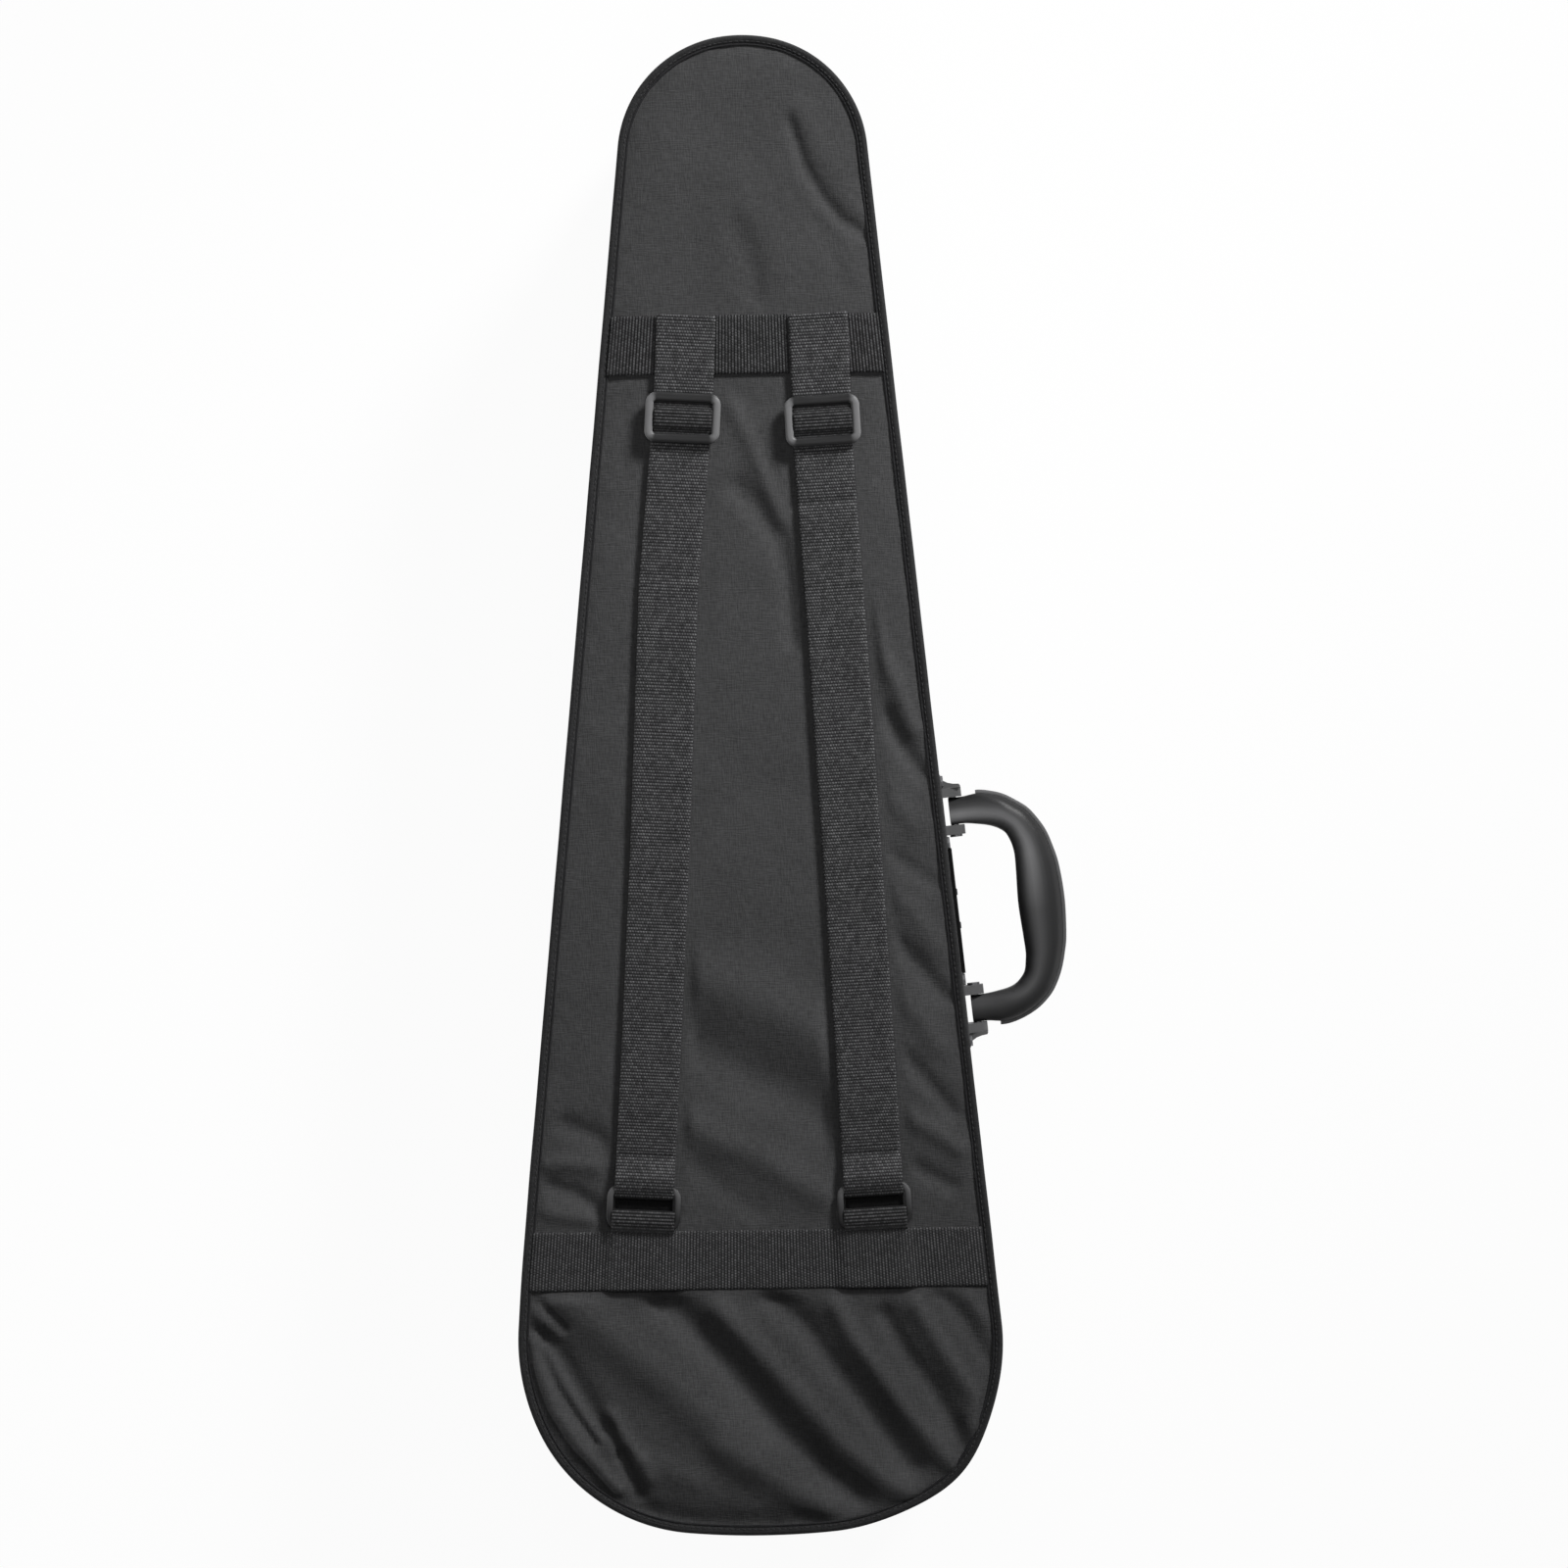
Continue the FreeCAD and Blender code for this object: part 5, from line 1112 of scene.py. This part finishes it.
def handle_base():
    """The strip along the side between the brackets, and the gusset that braces each outer ear. The strip's
    near-black colour is painted shade in the gap between the case's side and the handle.
    """
    along = np.linspace(-33.2, 33.2, 40)
    line = np.stack([0 * along + 1.2, along, 0 * along + HANDLE_HEIGHT], 1)
    # Painted shade: a near-black strip fills the gap along the side between the brackets.
    strip = tube(at_handle(line), (1.8, 7.0), 28, closed=False, power=7)
    piece("handle_base_strip", strip, SHADE_CLOTH, "base").data.set_sharp_from_angle(angle=0.9)
    outline = np.array([(0.0, 64.8), (0.0, 73.4), (1.0, 71.2), (2.6, 69.3), (4.8, 68.0), (7.6, 67.2),
                        (10.6, 66.9), (11.2, 66.0), (11.2, 64.8)])
    for sign, end in ((1, "head"), (-1, "tail")):
        rings = []
        for height, shrink in ((-6.5, 0.93), (-6.0, 1), (6.0, 1), (6.5, 0.93)):
            x, y = ((outline - (4, 67)) * shrink + (4, 67)).T
            rings.append(at_handle(np.stack([x, sign * y, 0 * x + HANDLE_HEIGHT + height], 1)))
        body = grid(np.array(rings), uv_grid(np.arange(4), np.arange(9)), close_columns=True)
        gusset = piece("bracket_gusset_" + end, capped(body, len(outline)), BRACKET, "base")
        gusset.data.set_sharp_from_angle(angle=0.7)


def fittings():
    """The CAD pieces that only need their material, and the zip's sliders with their pulls."""
    for material, nodes in (
        (BRACKET, ("handle_bracket_head", "handle_bracket_tail")),
        (STEEL, ("handle_pins", "bracket_rivets", "bracket_backing_plates", "bow_clip_pins")),
    ):
        for node in nodes:
            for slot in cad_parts[node].material_slots:
                slot.material = material
    for end in ("head", "tail"):
        softened("zip_slider_body_" + end, "zip_slider_" + end, SLIDER, "zip_slider_" + end, 0.35)
        softened("zip_pull_tab_" + end, "zip_pull_" + end, SLIDER, "zip_pull_" + end, 0.3)


# ---------------------------------------------------------------- room, light and camera


def seen_directly(tree):
    """1 for what the camera sees, straight or in a reflection or through glass, 0 for light on the object."""
    rays = tree.nodes.new("ShaderNodeLightPath")
    seen = calc(tree, "ADD", rays.outputs["Is Camera Ray"], rays.outputs["Is Glossy Ray"])
    return calc(tree, "MINIMUM", calc(tree, "ADD", seen, rays.outputs["Is Transmission Ray"]), 1.0)


def area_lamp(name, place, aim, size, power, spread=180):
    """A soft rectangular lamp that the camera doesn't see."""
    data = bpy.data.lights.new(name, "AREA")
    data.shape, data.size, data.size_y, data.energy = "RECTANGLE", *size, power
    data.spread = math.radians(spread)
    lamp = bpy.data.objects.new(name, data)
    bpy.context.scene.collection.objects.link(lamp)
    lamp.location = place
    lamp.visible_camera = False
    turn = Vector(aim) - Vector(place)
    lamp.rotation_euler = turn.to_track_quat("-Z", "Y").to_euler()


def room():
    """The pale floor and surroundings, the lamps (in metres and watts) and the camera."""
    bpy.ops.mesh.primitive_plane_add(size=24, location=(0, 0, -0.0004))
    floor = bpy.context.object
    floor.name = "floor"
    material = bpy.data.materials.new("pale_floor")
    material.use_nodes = True
    tree = material.node_tree
    shader = tree.nodes["Principled BSDF"]
    shader.inputs["Base Color"].default_value = (0.8, 0.8, 0.8, 1)
    shader.inputs["Roughness"].default_value = 0.9
    glow = shader_node(tree, "Emission", {"Color": (1, 1, 1, 1)})
    share = calc(tree, "MULTIPLY", seen_directly(tree), 0.955)
    blend = shader_node(tree, "MixShader", {0: share, 1: shader.outputs[0], 2: glow})
    tree.links.new(blend, tree.nodes["Material Output"].inputs["Surface"])
    floor.data.materials.append(material)

    world = bpy.data.worlds.new("studio")
    bpy.context.scene.world = world
    world.use_nodes = True
    tree = world.node_tree
    strength = calc(tree, "MULTIPLY_ADD", seen_directly(tree), 0.95, 0.05)
    tree.links.new(strength, tree.nodes["Background"].inputs["Strength"])
    tree.nodes["Background"].inputs["Color"].default_value = (1, 1, 1, 1)

    low = (0, 0, 0.08)
    area_lamp("key", (1.5, 2.1, 1.4), (0, 0.2, 0.1), (0.7, 0.7), 6.9, 38)
    area_lamp("top", (-0.05, 0.12, 0.9), (0, 0.1, 0.1), (0.4, 0.4), 1.8)
    area_lamp("left_box", (-3.5, 0.0, 0.08), low, (3.75, 0.14), 60)
    area_lamp("right_box", (3.6, 0.0, 0.08), low, (3.75, 0.14), 25)
    area_lamp("tail_box", (0, -4.0, 0.08), low, (2.5, 0.14), 27)
    area_lamp("head_box", (0, 4.0, 0.08), low, (2.5, 0.14), 20)

    data = bpy.data.cameras.new("camera")
    distance, half_frame = 2.5, 0.4108
    data.sensor_width, data.lens = 36, 18 * distance / half_frame
    camera = bpy.data.objects.new("camera", data)
    bpy.context.scene.collection.objects.link(camera)
    camera.location = (0.0171, 0.0004, 2.63)
    camera.rotation_euler = (0, 0, math.radians(-0.819))
    bpy.context.scene.camera = camera
    bpy.context.scene.view_settings.view_transform = "Standard"


back_canvas()
lid_canvas()
for shell in ("lid", "base"):
    binding(shell)
    side_canvas(shell)
    zip_half(shell)
    interior(shell)
hinge_strip()
violin_bed()
furnishings()
for side in STRAPS:
    strap(side)
    anchor(side)
    ring(side)
    adjuster(side)
feet = [(STRAPS[side]["foot"][0], 14, 1.9) for side in STRAPS]
band("lower_band_webbing", LOWER_BAND_Y, "lower_band", feet, FLAT_WEBBING, 129.9, 0.8)
band("upper_band_webbing", UPPER_BAND_Y, "upper_band", [], DARK_WEBBING)
handle()
handle_base()
fittings()
room()
